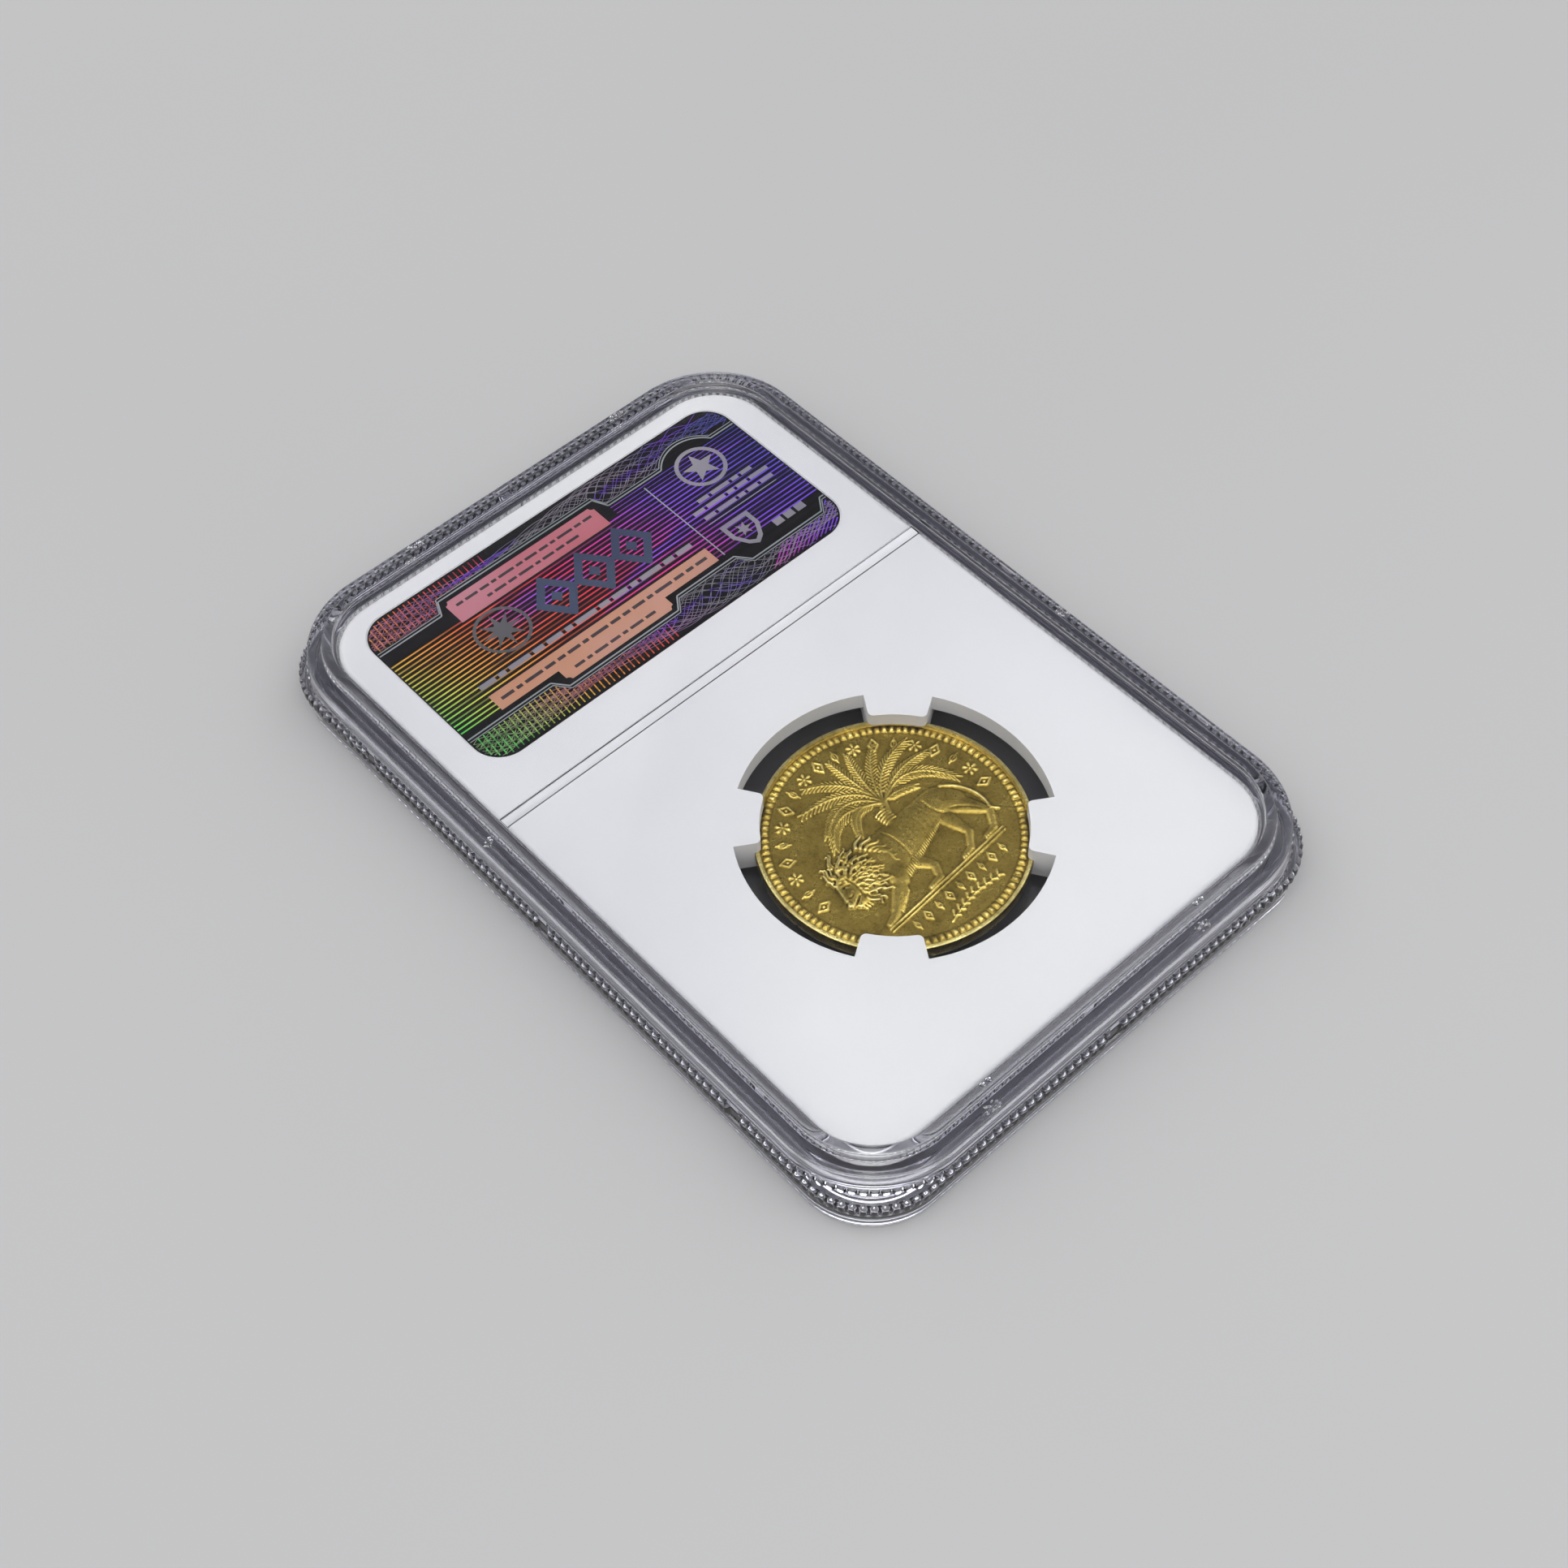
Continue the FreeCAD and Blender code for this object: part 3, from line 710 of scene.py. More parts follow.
def palm_frond(relief, root, bend, tip, leaf, pairs=19):
    """One feather-shaped frond: a spine with leaflets that lean towards the tip."""
    relief.curve([root, bend, tip], 0.14, 0.06, 0.10)
    line = bezier([root, bend, tip], pairs)
    for k in range(3, pairs + 1):
        along = line[k] - line[k - 1]
        along /= np.linalg.norm(along)
        t = k / pairs
        length = leaf * (0.35 + 0.65 * math.sin(math.pi * min(1.0, 0.10 + 0.75 * t)))
        for hand in (-1, 1):
            angle = hand * math.radians(46 - 20 * t)
            way = np.array([along[0] * math.cos(angle) - along[1] * math.sin(angle),
                            along[0] * math.sin(angle) + along[1] * math.cos(angle)])
            sag = np.array([0.0, -0.22 * length])
            relief.curve([line[k], line[k] + 0.6 * length * way, line[k] + length * way + sag],
                         0.085, 0.045, 0.08, parts=4)


def palm_tree(relief):
    crown = (1.85, 2.95)
    relief.curve([(0.75, 0.9), (1.0, 2.0), crown], 0.75, 0.42, 0.09)
    for k in range(5):
        y = 1.2 + 0.32 * k
        relief.curve([(0.2, y), (0.85, y + 0.24), (1.5, y)], 0.09, 0.09, 0.05, base=0.06)
    fronds = [
        ((1.8, 7.4), (-1.9, 9.4), 1.05), ((1.6, 6.4), (1.7, 9.7), 0.95),
        ((2.2, 6.6), (3.5, 9.2), 0.95), ((1.4, 7.0), (-4.1, 7.6), 1.15),
        ((-0.2, 7.2), (-4.2, 4.4), 1.2), ((-2.2, 6.6), (-4.9, 2.9), 1.15),
        ((-0.3, 5.4), (-2.2, 2.5), 0.95), ((3.0, 6.4), (6.0, 8.3), 0.95),
        ((4.0, 6.6), (8.4, 6.4), 1.1), ((5.0, 5.2), (8.7, 4.2), 1.0),
        ((6.6, 5.6), (8.6, 0.4), 1.2), ((3.4, 3.5), (5.2, 2.3), 0.85),
    ]
    for bend, tip, leaf in fronds:
        palm_frond(relief, crown, bend, tip, leaf)


def lion_body(relief):
    deep = 0.13
    limbs = [
        # far legs first, then the near ones over them
        ((4.5, -1.8), (4.85, -4.9), 0.95, 0.40, 0.08), ((4.85, -4.9), (3.6, -6.2), 0.42, 0.36, 0.09),
        ((3.6, -6.25), (2.5, -6.45), 0.38, 0.32, 0.09), ((-0.9, -3.6), (-0.1, -5.0), 0.75, 0.45, 0.08),
        ((-0.1, -5.0), (-0.7, -6.2), 0.45, 0.40, 0.09), ((-0.7, -6.3), (-2.0, -6.45), 0.40, 0.34, 0.10),
        ((-1.9, -1.15), (5.3, -0.35), 2.5, 1.55, 0.14), ((5.9, -0.8), (6.4, -1.5), 1.65, 1.35, 0.13),
        ((6.4, -1.8), (7.9, -4.6), 1.15, 0.42, 0.11), ((7.95, -4.7), (6.9, -6.1), 0.44, 0.36, 0.10),
        ((6.8, -6.25), (5.6, -6.45), 0.40, 0.32, 0.10), ((-2.6, -2.2), (-3.4, -3.7), 1.5, 0.95, 0.13),
        ((-3.4, -3.8), (-6.3, -5.9), 0.80, 0.48, 0.11), ((-6.4, -6.05), (-7.6, -6.4), 0.46, 0.38, 0.11),
    ]
    for start, end, r1, r2, high in limbs:
        relief.stroke(start, end, r1, r2, high)
    relief.curve([(6.8, 0.5), (8.4, -0.6), (9.1, -2.9), (8.2, -4.6)], 0.22, 0.16, deep)
    relief.curve([(8.25, -4.3), (8.35, -4.9), (8.75, -5.2)], 0.18, 0.07, deep)
    # toes
    for x, y in ((-7.75, -6.42), (-2.15, -6.47), (2.35, -6.47), (5.45, -6.47)):
        for k in range(3):
            relief.stroke((x + 0.3 * k, y + 0.08), (x - 0.08 + 0.3 * k, y - 0.08), 0.15, 0.12, 0.12)
    # muscle lines
    relief.groove([(-0.9, 0.8), (-0.2, -1.0), (-1.1, -3.2)], 0.16, 0.025)
    relief.groove([(4.3, 0.5), (4.0, -0.9), (4.9, -2.0)], 0.16, 0.025)
    relief.groove([(5.6, -1.9), (6.8, -2.6), (7.5, -4.0)], 0.12, 0.02)
    for k in range(6):
        x = 0.6 + 0.55 * k
        relief.groove([(x, 0.0), (x + 0.25, -1.0), (x - 0.1, -1.9)], 0.10, 0.008)


def lock(relief, start, way, length, hook, thick, base):
    """One wavy lock of hair that thins towards its end."""
    side = left_of(way) * hook
    relief.curve([start, start + 0.45 * length * way - 0.34 * length * side,
                  start + 0.85 * length * way + 0.40 * length * side,
                  start + 1.05 * length * way + 0.08 * length * side],
                 thick, 0.45 * thick, 0.075, base=base, parts=9)


def lion_hair(relief, random):
    # fringe under the belly and on the front leg
    for k in range(26):
        t = k / 25
        start = (-2.3 + 6.4 * t, -3.55 + 1.75 * t)
        relief.stroke(start, (start[0] - 0.12, start[1] - 0.66 + 0.25 * t), 0.13, 0.06, 0.10)
    for k in range(12):
        t = k / 11
        start = (-3.6 - 2.2 * t, -4.7 - 1.3 * t)
        relief.stroke(start, (-3.8 - 2.0 * t, -5.25 - 1.1 * t), 0.11, 0.05, 0.08)
    # mane: loose rows of curling locks round the face, within an oval that reaches the shoulder
    face = np.array([-7.4, -1.3])
    for row in range(7, -1, -1):
        reach = 1.1 + 0.52 * row
        count = int(reach * math.radians(200) / 0.44)
        for k in range(count):
            angle = math.radians(118 - 200 * (k + 0.5 * (row % 2)) / count + random.uniform(-5, 5))
            way = heading(angle)
            start = face + (reach + random.uniform(-0.2, 0.2)) * way
            oval = ((start[0] + 6.1) / 2.1) ** 2 + ((start[1] + 0.8) / 2.6) ** 2
            if oval > 1.0:
                continue
            hook = -1.0 if math.sin(angle) > -0.3 else 1.0
            drift = way + np.array([0.15, -0.55 * abs(math.cos(angle))])
            drift /= np.linalg.norm(drift)
            length = random.uniform(0.85, 1.45)
            thick = random.uniform(0.12, 0.19)
            base = 0.105 - 0.007 * row + random.uniform(-0.025, 0.02)
            lock(relief, start, drift, length, hook, thick, base)
    # tufts over the shoulder
    for k in range(7):
        angle = math.radians(35 - 18 * k)
        start = np.array([-3.7 + 0.24 * k, 1.45 - 0.36 * k])
        lock(relief, start, heading(angle), 1.5, -1.0, 0.20, 0.09)


def lion_head(relief):
    relief.stroke((-6.9, -0.8), (-7.3, -1.7), 1.30, 1.15, 0.10, base=0.05)
    relief.stroke((-7.7, -1.7), (-8.35, -2.5), 0.80, 0.50, 0.10, base=0.07)
    relief.stroke((-7.95, -0.45), (-8.45, -1.9), 0.34, 0.28, 0.05, base=0.13)
    relief.stroke((-7.2, -2.85), (-7.9, -3.05), 0.52, 0.36, 0.08, base=0.07)
    relief.curve([(-6.8, 0.05), (-7.4, 0.35), (-8.0, -0.2)], 0.24, 0.16, 0.05, base=0.14)
    relief.stroke((-8.55, -2.35), (-8.72, -2.5), 0.26, 0.22, 0.05, base=0.14)
    relief.curve([(-6.1, 0.55), (-6.2, 1.1), (-6.6, 0.95)], 0.26, 0.18, 0.05, base=0.15)
    relief.groove([(-8.6, -2.95), (-8.0, -2.75), (-7.3, -2.35)], 0.10, 0.08)
    relief.groove([(-7.8, -0.75), (-7.5, -0.62), (-7.15, -0.85)], 0.15, 0.07)
    relief.groove([(-6.9, -0.3), (-6.6, -1.2), (-6.9, -2.3)], 0.12, 0.03)
    relief.groove([(-8.1, -1.9), (-7.7, -2.1), (-7.5, -1.7)], 0.09, 0.03)
    relief.stroke((-7.48, -0.85), (-7.45, -0.87), 0.12, 0.10, 0.03, base=0.13)
    for k in range(5):
        start = (-7.9 + 0.33 * k, -3.2)
        relief.stroke(start, (start[0] + 0.15, start[1] - 0.55), 0.15, 0.07, 0.10)


def lozenge(relief, middle, size, turn):
    way = heading(turn)
    side = left_of(way)
    ends = [middle + way * size, middle + side * size * 0.62,
            middle - way * size, middle - side * size * 0.62]
    for k in range(4):
        relief.stroke(ends[k], ends[(k + 1) % 4], 0.11, 0.11, 0.08)
    relief.dot(middle, 0.15, 0.08)


def floret(relief, middle, size, petals=6):
    for k in range(petals):
        angle = 2 * math.pi * k / petals
        way = heading(angle)
        relief.stroke(middle + way * size * 0.35, middle + way * size * 0.8, 0.10, 0.16, 0.08)
    relief.dot(middle, 0.16, 0.09)


def leaf_pair(relief, middle, size, turn):
    way = heading(turn)
    side = left_of(way)
    relief.stroke(middle - way * size, middle + way * size, 0.06, 0.06, 0.07)
    for hand in (-1, 1):
        tip = middle + hand * side * size * 0.7
        relief.curve([middle - way * size * 0.7, tip, middle + way * size * 0.7], 0.07, 0.07, 0.07,
                     parts=8)


def ornament_ring(relief, first, last, count, radius):
    """Small ornaments where a coin carries its lettering."""
    for k in range(count):
        angle = math.radians(first + (last - first) * k / (count - 1))
        middle = radius * heading(angle)
        kind = k % 3
        if kind == 0:
            lozenge(relief, middle, 0.72, angle)
        elif kind == 1:
            leaf_pair(relief, middle, 0.72, angle)
        else:
            floret(relief, middle, 0.72)


def rear_relief():
    random = np.random.default_rng(7)
    relief = Relief()
    palm_tree(relief)
    lion_body(relief)
    lion_hair(relief, random)
    lion_head(relief)
    relief.stroke((-8.0, -6.78), (7.35, -6.78), 0.10, 0.10, 0.09)
    relief.stroke((-8.0, -7.12), (7.35, -7.12), 0.07, 0.07, 0.07)
    ornament_ring(relief, 184, -12, 19, 10.35)
    for k in range(9):
        middle = np.array([-6.0 + 1.45 * k, -8.25])
        (lozenge if k % 2 else leaf_pair)(relief, middle, 0.55, math.pi / 2)
    relief.curve([(-3.6, -10.3), (0.0, -9.3), (3.4, -10.2)], 0.08, 0.06, 0.07)
    for k in range(9):
        x = -3.0 + 0.75 * k
        y = -9.95 + 0.12 * (4 - abs(k - 4))
        relief.stroke((x, y), (x + 0.35, y + 0.42), 0.07, 0.13, 0.07)
        relief.stroke((x, y), (x + 0.42, y - 0.36), 0.07, 0.13, 0.07)
    relief.soften(2)
    return relief


def front_relief():
    """The face that rests downwards: a wreath about a plain rosette."""
    relief = Relief(0.05)
    for hand in (-1, 1):
        for k in range(15):
            angle = math.radians(-80 + 11.2 * k)
            out = heading(angle) * (hand, 1)
            way = left_of(heading(angle)) * (hand, 1)
            middle = 7.6 * out
            relief.stroke(middle, middle + 1.1 * way, 0.12, 0.12, 0.07)
            for side in (-1, 1):
                tip = middle + 1.15 * way + side * 1.05 * out
                relief.curve([middle, middle + side * 0.7 * out, tip], 0.24, 0.07, 0.11, parts=5)
    for petals, size, lift in ((8, 3.9, 0.10), (8, 2.2, 0.13)):
        for k in range(petals):
            angle = 2 * math.pi * k / petals + size
            way = heading(angle)
            relief.stroke(way * size * 0.35, way * size * 0.85, 0.3, size * 0.17, lift)
    relief.dot((0, 0), 0.8, 0.14)
    ornament_ring(relief, 0, 345, 24, 10.3)
    relief.soften(2)
    return relief


def disc_grid(count):
    """Square grid bent into a disc of radius 1; its border points are evenly spaced."""
    line = np.linspace(-1.0, 1.0, count + 1)
    a, b = np.meshgrid(line, line)
    with np.errstate(divide="ignore", invalid="ignore"):
        wide = np.abs(a) > np.abs(b)
        radius = np.where(wide, a, b)
        angle = np.where(wide, math.pi / 4 * b / a, math.pi / 2 - math.pi / 4 * a / b)
    angle = np.nan_to_num(angle)
    return radius * np.cos(angle), radius * np.sin(angle)


def grid_border(count):
    """Grid indices round the border, counter-clockwise from the lower right corner."""
    row = count + 1
    right = [k * row + count for k in range(count)]
    upper = [count * row + count - k for k in range(count)]
    left = [(count - k) * row for k in range(count)]
    lower = list(range(count))
    return right + upper + left + lower


def edge_rings(around, field, face):
    """Radius, height and tone of each ring, from the relief over the beads to the edge.  The tone is
    wear and also painted light: painted highlights on the bead tops and the flat rim, painted shade
    between the beads and at the foot and outer edge of the rim.
    """
    random = np.random.default_rng(11)
    phase = np.arange(around) * BEADS / around
    which = np.floor(phase).astype(int)
    size = random.uniform(0.62, 1.0, BEADS)[which]
    offset = (phase % 1.0 - 0.5 + random.uniform(-0.06, 0.06, BEADS)[which]) / 0.38
    bead = size * np.sqrt(np.maximum(0.0, 1 - offset ** 2))
    rings = []
    for radius in (11.56, 11.66, 11.76, 11.88, BEAD_CIRCLE, 12.16, 12.30, 12.40, 12.48):
        swell = np.sqrt(max(0.0, 1 - ((radius - BEAD_CIRCLE) / BEAD_WIDE) ** 2)) * bead
        rings.append((radius, field + BEAD_HIGH * swell, 0.25 + 0.6 * swell))
    rim = [(12.56, field + 0.02, 0.40), (12.62, face, 0.85), (12.90, face, 0.85),
           (12.97, face - 0.03, 0.9), (COIN_RADIUS, face - 0.09, 0.40), (COIN_RADIUS, 0.0, 0.40)]
    for radius, height, tone in rim:
        rings.append((radius, np.full(around, height), np.full(around, tone)))
    return rings


def coin_half(name, relief, count, face_up, material):
    """One half of the coin, from its face to the middle of its edge, as a closed piece."""
    x, y = disc_grid(count)
    x = (x * RELIEF_REACH).ravel()
    y = (y * RELIEF_REACH).ravel()
    blurred = Relief(relief.step)
    blurred.height = relief.height.copy()
    blurred.soften(60)
    fade = smooth_step(np.hypot(x, y), RELIEF_REACH, RELIEF_REACH - 0.15)
    raised = relief.read(x, y)
    high = np.minimum(raised * RELIEF_GAIN, FIELD_DROP - 0.01) * fade
    hollow = raised - blurred.read(x, y)
    # Tone of each point: darker where the relief dips below its blurred surroundings, lighter where it
    # stands out and on the relief. This is patina and wear, and also painted shade in the hollows and
    # painted highlights on the ridges.
    wear_and_shade_tones = [np.clip(0.43 + hollow * 9.0 + raised * 0.25, 0.0, 1.0)]
    face = coin_high[2] - COIN_MIDDLE[2]
    field = face - FIELD_DROP
    dish = 0.02 * ((np.hypot(x, y) / RELIEF_REACH) ** 2 - 1)
    points = [np.column_stack([x, y, field + high + dish])]
    row = count + 1
    faces = []
    for j in range(count):
        for i in range(count):
            a = j * row + i
            faces.append([a, a + 1, a + row + 1, a + row])
    previous = grid_border(count)
    around = len(previous)
    angle = -math.pi / 4 + 2 * math.pi * np.arange(around) / around
    total = len(x)
    for radius, height, tone in edge_rings(around, field, face):
        points.append(np.column_stack([radius * np.cos(angle), radius * np.sin(angle), height]))
        wear_and_shade_tones.append(tone)
        here = list(range(total, total + around))
        for k in range(around):
            j = (k + 1) % around
            faces.append([previous[k], previous[j], here[j], here[k]])
        previous = here
        total += around
    faces.append(previous)
    points = np.vstack(points)
    if not face_up:
        points = points * np.array([1.0, -1.0, -1.0])
    turned = points.copy()
    turned[:, 0] = points[:, 0] * math.cos(COIN_TURN) - points[:, 1] * math.sin(COIN_TURN)
    turned[:, 1] = points[:, 0] * math.sin(COIN_TURN) + points[:, 1] * math.cos(COIN_TURN)
    builder = Builder()
    builder.add_points(turned + COIN_MIDDLE)
    builder.faces = faces
    piece = finish_mesh(name, builder, material, "coin_body", sharp=75.0)
    attribute = piece.data.attributes.new("wear_and_painted_shade", "FLOAT", "POINT")
    attribute.data.foreach_set("value", np.concatenate(wear_and_shade_tones).astype(np.float32))
    return piece


# ------------------------------------------------------------------- foil label
LABEL_X = (label_low[0] + label_high[0]) / 2
LABEL_Y = (label_low[1] + label_high[1]) / 2
LABEL_WIDE = (label_high[0] - label_low[0]) / 2
LABEL_LONG = (label_high[1] - label_low[1]) / 2
LABEL_CORNER = 3.2
PRINT_LOW = label_high[2] - 0.01
PRINT_HIGH = label_high[2] + 0.008
RULE_HIGH = PRINT_HIGH - 0.003
PLAQUE_HIGH = PRINT_HIGH + 0.003
MOTIF_HIGH = PRINT_HIGH + 0.004
INK_HIGH = PRINT_HIGH + 0.007


def on_label(points):
    return [(LABEL_X + x, LABEL_Y + y) for x, y in points]


def upper_border(x):
    """Height of the line under the upper net band: it steps over the plaque and the seal."""
    step = np.interp(x, [-15.3, -14.5, 5.2, 6.0], [7.05, 8.75, 8.75, 7.05])
    bulge = 4.6 + np.sqrt(np.maximum(0.0, 4.15 ** 2 - (x - 16.4) ** 2))
    return np.maximum(step, bulge)


def lower_border(x):
    return np.interp(x, [-12.8, -11.6, 2.1, 3.2, 10.7, 11.9, 21.2, 22.3],
                     [-6.8, -8.3, -8.3, -6.8, -6.8, -8.3, -8.3, -6.8])


def inside_label(x, y, margin):
    over_x = np.maximum(np.abs(x) - (LABEL_WIDE - LABEL_CORNER), 0.0)
    over_y = np.maximum(np.abs(y) - (LABEL_LONG - LABEL_CORNER), 0.0)
    return np.hypot(over_x, over_y) < LABEL_CORNER - margin


def clipped_ribbons(builder, x, y, keep, wide, high=PRINT_HIGH):
    """Adds the kept stretches of a line as separate ribbons."""
    start = None
    for k in range(len(x) + 1):
        inside = k < len(x) and keep[k]
        if inside and start is None:
            start = k
        if not inside and start is not None:
            if k - start > 1:
                line = on_label(zip(x[start:k], y[start:k]))
                builder.ribbon(line, wide, PRINT_LOW, high)
            start = None


def net_bands():
    """Guilloche nets along the upper and lower edges."""
    builder = Builder()
    x = np.linspace(-LABEL_WIDE, LABEL_WIDE, 260)
    for upward in (True, False):
        middle = 9.0 if upward else -8.9
        for wave, amount, copies in ((13.0, 1.9, 9), (8.2, 1.5, 7), (21.0, 2.3, 6)):
            for k in range(copies):
                phase = 2 * math.pi * k / copies
                swing = amount * (0.65 + 0.35 * np.sin(2 * math.pi * x / (wave * 2.7)))
                y = middle + swing * np.sin(2 * math.pi * x / wave + phase)
                limit = y > upper_border(x) + 0.45 if upward else y < lower_border(x) - 0.45
                clipped_ribbons(builder, x, y, limit & inside_label(x, y, 0.12), 0.055)
    return builder


def grating_lines():
    """Steep parallel lines in the net bands."""
    builder = Builder()
    for upward, first, last, slant in ((True, -22.4, -7.0, 0.06), (False, -22.4, 1.0, 0.10),
                                       (False, 12.0, 21.0, 1.5)):
        for k in range(int((last - first) / 0.62)):
            x0 = first + 0.62 * k
            low, high = (7.0, 11.2) if upward else (-11.2, -6.7)
            y = np.linspace(low, high, 24)
            x = x0 + slant * (y - low)
            limit = y > upper_border(x) + 0.4 if upward else y < lower_border(x) - 0.4
            clipped_ribbons(builder, x, y, limit & inside_label(x, y, 0.15), 0.13,
                            RULE_HIGH)
    return builder


def ruled_lines():
    """Fine parallel lines across the middle of the label."""
    builder = Builder()
    x = np.linspace(-LABEL_WIDE + 0.1, LABEL_WIDE - 0.1, 120)
    for k in range(21):
        y = np.full_like(x, 5.15 - 0.545 * k)
        keep = inside_label(x, y, 0.1)
        clipped_ribbons(builder, x, y, keep, 0.17, RULE_HIGH)
    for k in range(3):
        y = np.full_like(x, 6.65 - 0.5 * k)
        clipped_ribbons(builder, x, y, (x > 5.6) & inside_label(x, y, 0.1), 0.08, RULE_HIGH)
    return builder


def border_lines():
    builder = Builder()
    x = np.linspace(-LABEL_WIDE, LABEL_WIDE, 420)
    for shift, wide in ((0.0, 0.16), (0.36, 0.10)):
        y = upper_border(x) + shift
        clipped_ribbons(builder, x, y, inside_label(x, y, 0.1), wide)
        y = lower_border(x) - shift
        clipped_ribbons(builder, x, y, inside_label(x, y, 0.1), wide)
    builder.ribbon(on_label([(10.2, -6.0), (10.2, 0.0), (10.2, 6.4)]), 0.14, PRINT_LOW, PRINT_HIGH)
    builder.ribbon(on_label([(11.7, -1.95), (16.0, -1.95), (20.8, -1.95)]), 0.09, PRINT_LOW, PRINT_HIGH)
    return builder


def notched_plate(left, right, low, high, notch, upper):
    """Outline of a plaque whose outer corners have small concave bites."""
    bite = [math.radians(a) for a in (0, 30, 60, 90)]
    corner_y = high if upper else low
    sign = 1 if upper else -1
    right_bite = [(right - notch * math.sin(a), corner_y - sign * notch * math.cos(a)) for a in bite]
    left_bite = [(left + notch * math.sin(a), corner_y - sign * notch * math.cos(a)) for a in bite]
    if upper:
        return [(left, low), (right, low)] + right_bite + left_bite[::-1]
    return [(right, high), (left, high)] + left_bite + right_bite[::-1]


def plaques():
    builder = Builder()
    builder.plate(on_label(notched_plate(-14.3, 4.6, 5.0, 8.15, 0.45, True)), PRINT_LOW, PLAQUE_HIGH)
    return builder


def lower_plaque():
    builder = Builder()
    band = on_label([(-18.2, -6.15), (-18.2, -4.0), (9.3, -4.0), (9.3, -6.15)])
    builder.plate(band, PRINT_LOW, PLAQUE_HIGH)
    builder.plate(on_label(notched_plate(-11.3, 2.2, -7.8, -6.15, 0.45, False)), PRINT_LOW, PLAQUE_HIGH)
    return builder


def bars(builder, y, spans, high, low, print_high):
    for left, right in spans:
        outline = on_label([(left, y - high / 2), (right, y - high / 2),
                            (right, y + high / 2), (left, y + high / 2)])
        builder.plate(outline, low, print_high)


def bar_row(left, right, pattern, gap):
    """Spans of a row of short bars whose lengths follow a repeating pattern."""
    spans = []
    x = left
    k = 0
    while x < right - 0.4:
        end = min(x + pattern[k % len(pattern)], right)
        spans.append((x, end))
        x = end + gap
        k += 1
    return spans


def plaque_print():
    builder = Builder()
    low = PRINT_HIGH
    high = INK_HIGH
    bars(builder, 7.15, bar_row(-13.4, 3.8, (0.8, 1.5, 1.1, 0.6, 1.9), 0.32), 0.34, low, high)
    bars(builder, 6.0, bar_row(-10.4, 1.2, (0.6, 1.4, 1.0, 1.8), 0.32), 0.34, low, high)
    bars(builder, -5.05, bar_row(-17.4, 8.6, (1.5, 0.7, 2.1, 1.2, 0.9), 0.36), 0.40, low, high)
    bars(builder, -6.85, bar_row(-9.8, 0.8, (1.2, 0.6, 1.6), 0.36), 0.36, low, high)
    return builder


def diamond(x, y, wide, high):
    return on_label([(x - wide, y), (x, y - high), (x + wide, y), (x, y + high)])


def bold_motif():
    """Three interlocked bold diamonds in the middle of the label."""
    builder = Builder()
    for k, x in enumerate((-5.4, -0.6, 4.2)):
        outer = diamond(x, 1.3, 2.6, 3.3)
        inner = diamond(x, 1.3, 1.5, 1.9)
        builder.hoop(outer, inner, PRINT_LOW, MOTIF_HIGH + 0.001 * k)
        builder.plate(diamond(x, 1.3, 0.7, 0.85), PRINT_LOW, MOTIF_HIGH)
    return builder


def star(x, y, outer, inner, points, turn=0.0):
    outline = []
    for k in range(2 * points):
        radius = outer if k % 2 == 0 else inner
        angle = turn + math.pi * k / points
        outline.append((x + radius * math.cos(angle), y + radius * math.sin(angle)))
    return on_label(outline)


def circle(x, y, radius, count=40):
    return star(x, y, radius, radius, count // 2)


def mirrored(middle, half):
    """Outline from its left half, whose last point lies on the middle line."""
    left = [(middle - x, y) for x, y in half]
    right = [(middle + x, y) for x, y in half[-2::-1]]
    return left + right


def silver_motifs():
    """Generic seals and short bars in pale foil."""
    builder = Builder()
    builder.hoop(circle(16.4, 4.7, 2.75), circle(16.4, 4.7, 2.3), PRINT_LOW, MOTIF_HIGH)
    builder.plate(star(16.4, 4.7, 2.0, 0.85, 5, math.pi / 2), PRINT_LOW, MOTIF_HIGH)
    for y, left, right in ((1.15, 12.9, 20.2), (0.05, 11.4, 21.6), (-1.1, 11.9, 21.0)):
        bars(builder, y, bar_row(left, right, (1.4, 2.4, 0.9), 0.35), 0.5, PRINT_LOW, MOTIF_HIGH)
    shield = mirrored(13.9, [(1.8, -3.0), (1.8, -5.0), (0.9, -6.6), (0.0, -7.2)])
    core = mirrored(13.9, [(1.3, -3.5), (1.3, -4.9), (0.6, -6.2), (0.0, -6.6)])
    builder.hoop(on_label(shield), on_label(core), PRINT_LOW, MOTIF_HIGH)
    builder.plate(star(13.9, -4.7, 0.95, 0.4, 6), PRINT_LOW, MOTIF_HIGH)
    bars(builder, -6.3, bar_row(16.6, 21.2, (1.1, 1.1), 0.35), 0.9, PRINT_LOW, MOTIF_HIGH)
    bars(builder, -2.7, bar_row(-18.2, 9.2, (1.9, 0.9, 2.6, 1.3), 0.4), 0.62, PRINT_LOW, MOTIF_HIGH)
    return builder


def faint_motif():
    """Rosette in a ring, in a dim foil, at the left of the label."""
    builder = Builder()
    builder.hoop(circle(-12.0, 1.6, 2.95), circle(-12.0, 1.6, 2.6), PRINT_LOW, MOTIF_HIGH)
    builder.plate(star(-12.0, 1.6, 2.3, 0.9, 8), PRINT_LOW, MOTIF_HIGH)
    return builder


def label_base(low, high):
    builder = Builder()
    points, _ = rounded_outline(LABEL_WIDE, LABEL_LONG, LABEL_CORNER, (4, 4, 12))
    builder.plate(on_label(points), low, high)
    return builder


def inset_outline(inset):
    points, _ = rounded_outline(LABEL_WIDE - inset, LABEL_LONG - inset, LABEL_CORNER - inset, (4, 4, 10))
    return on_label(points)


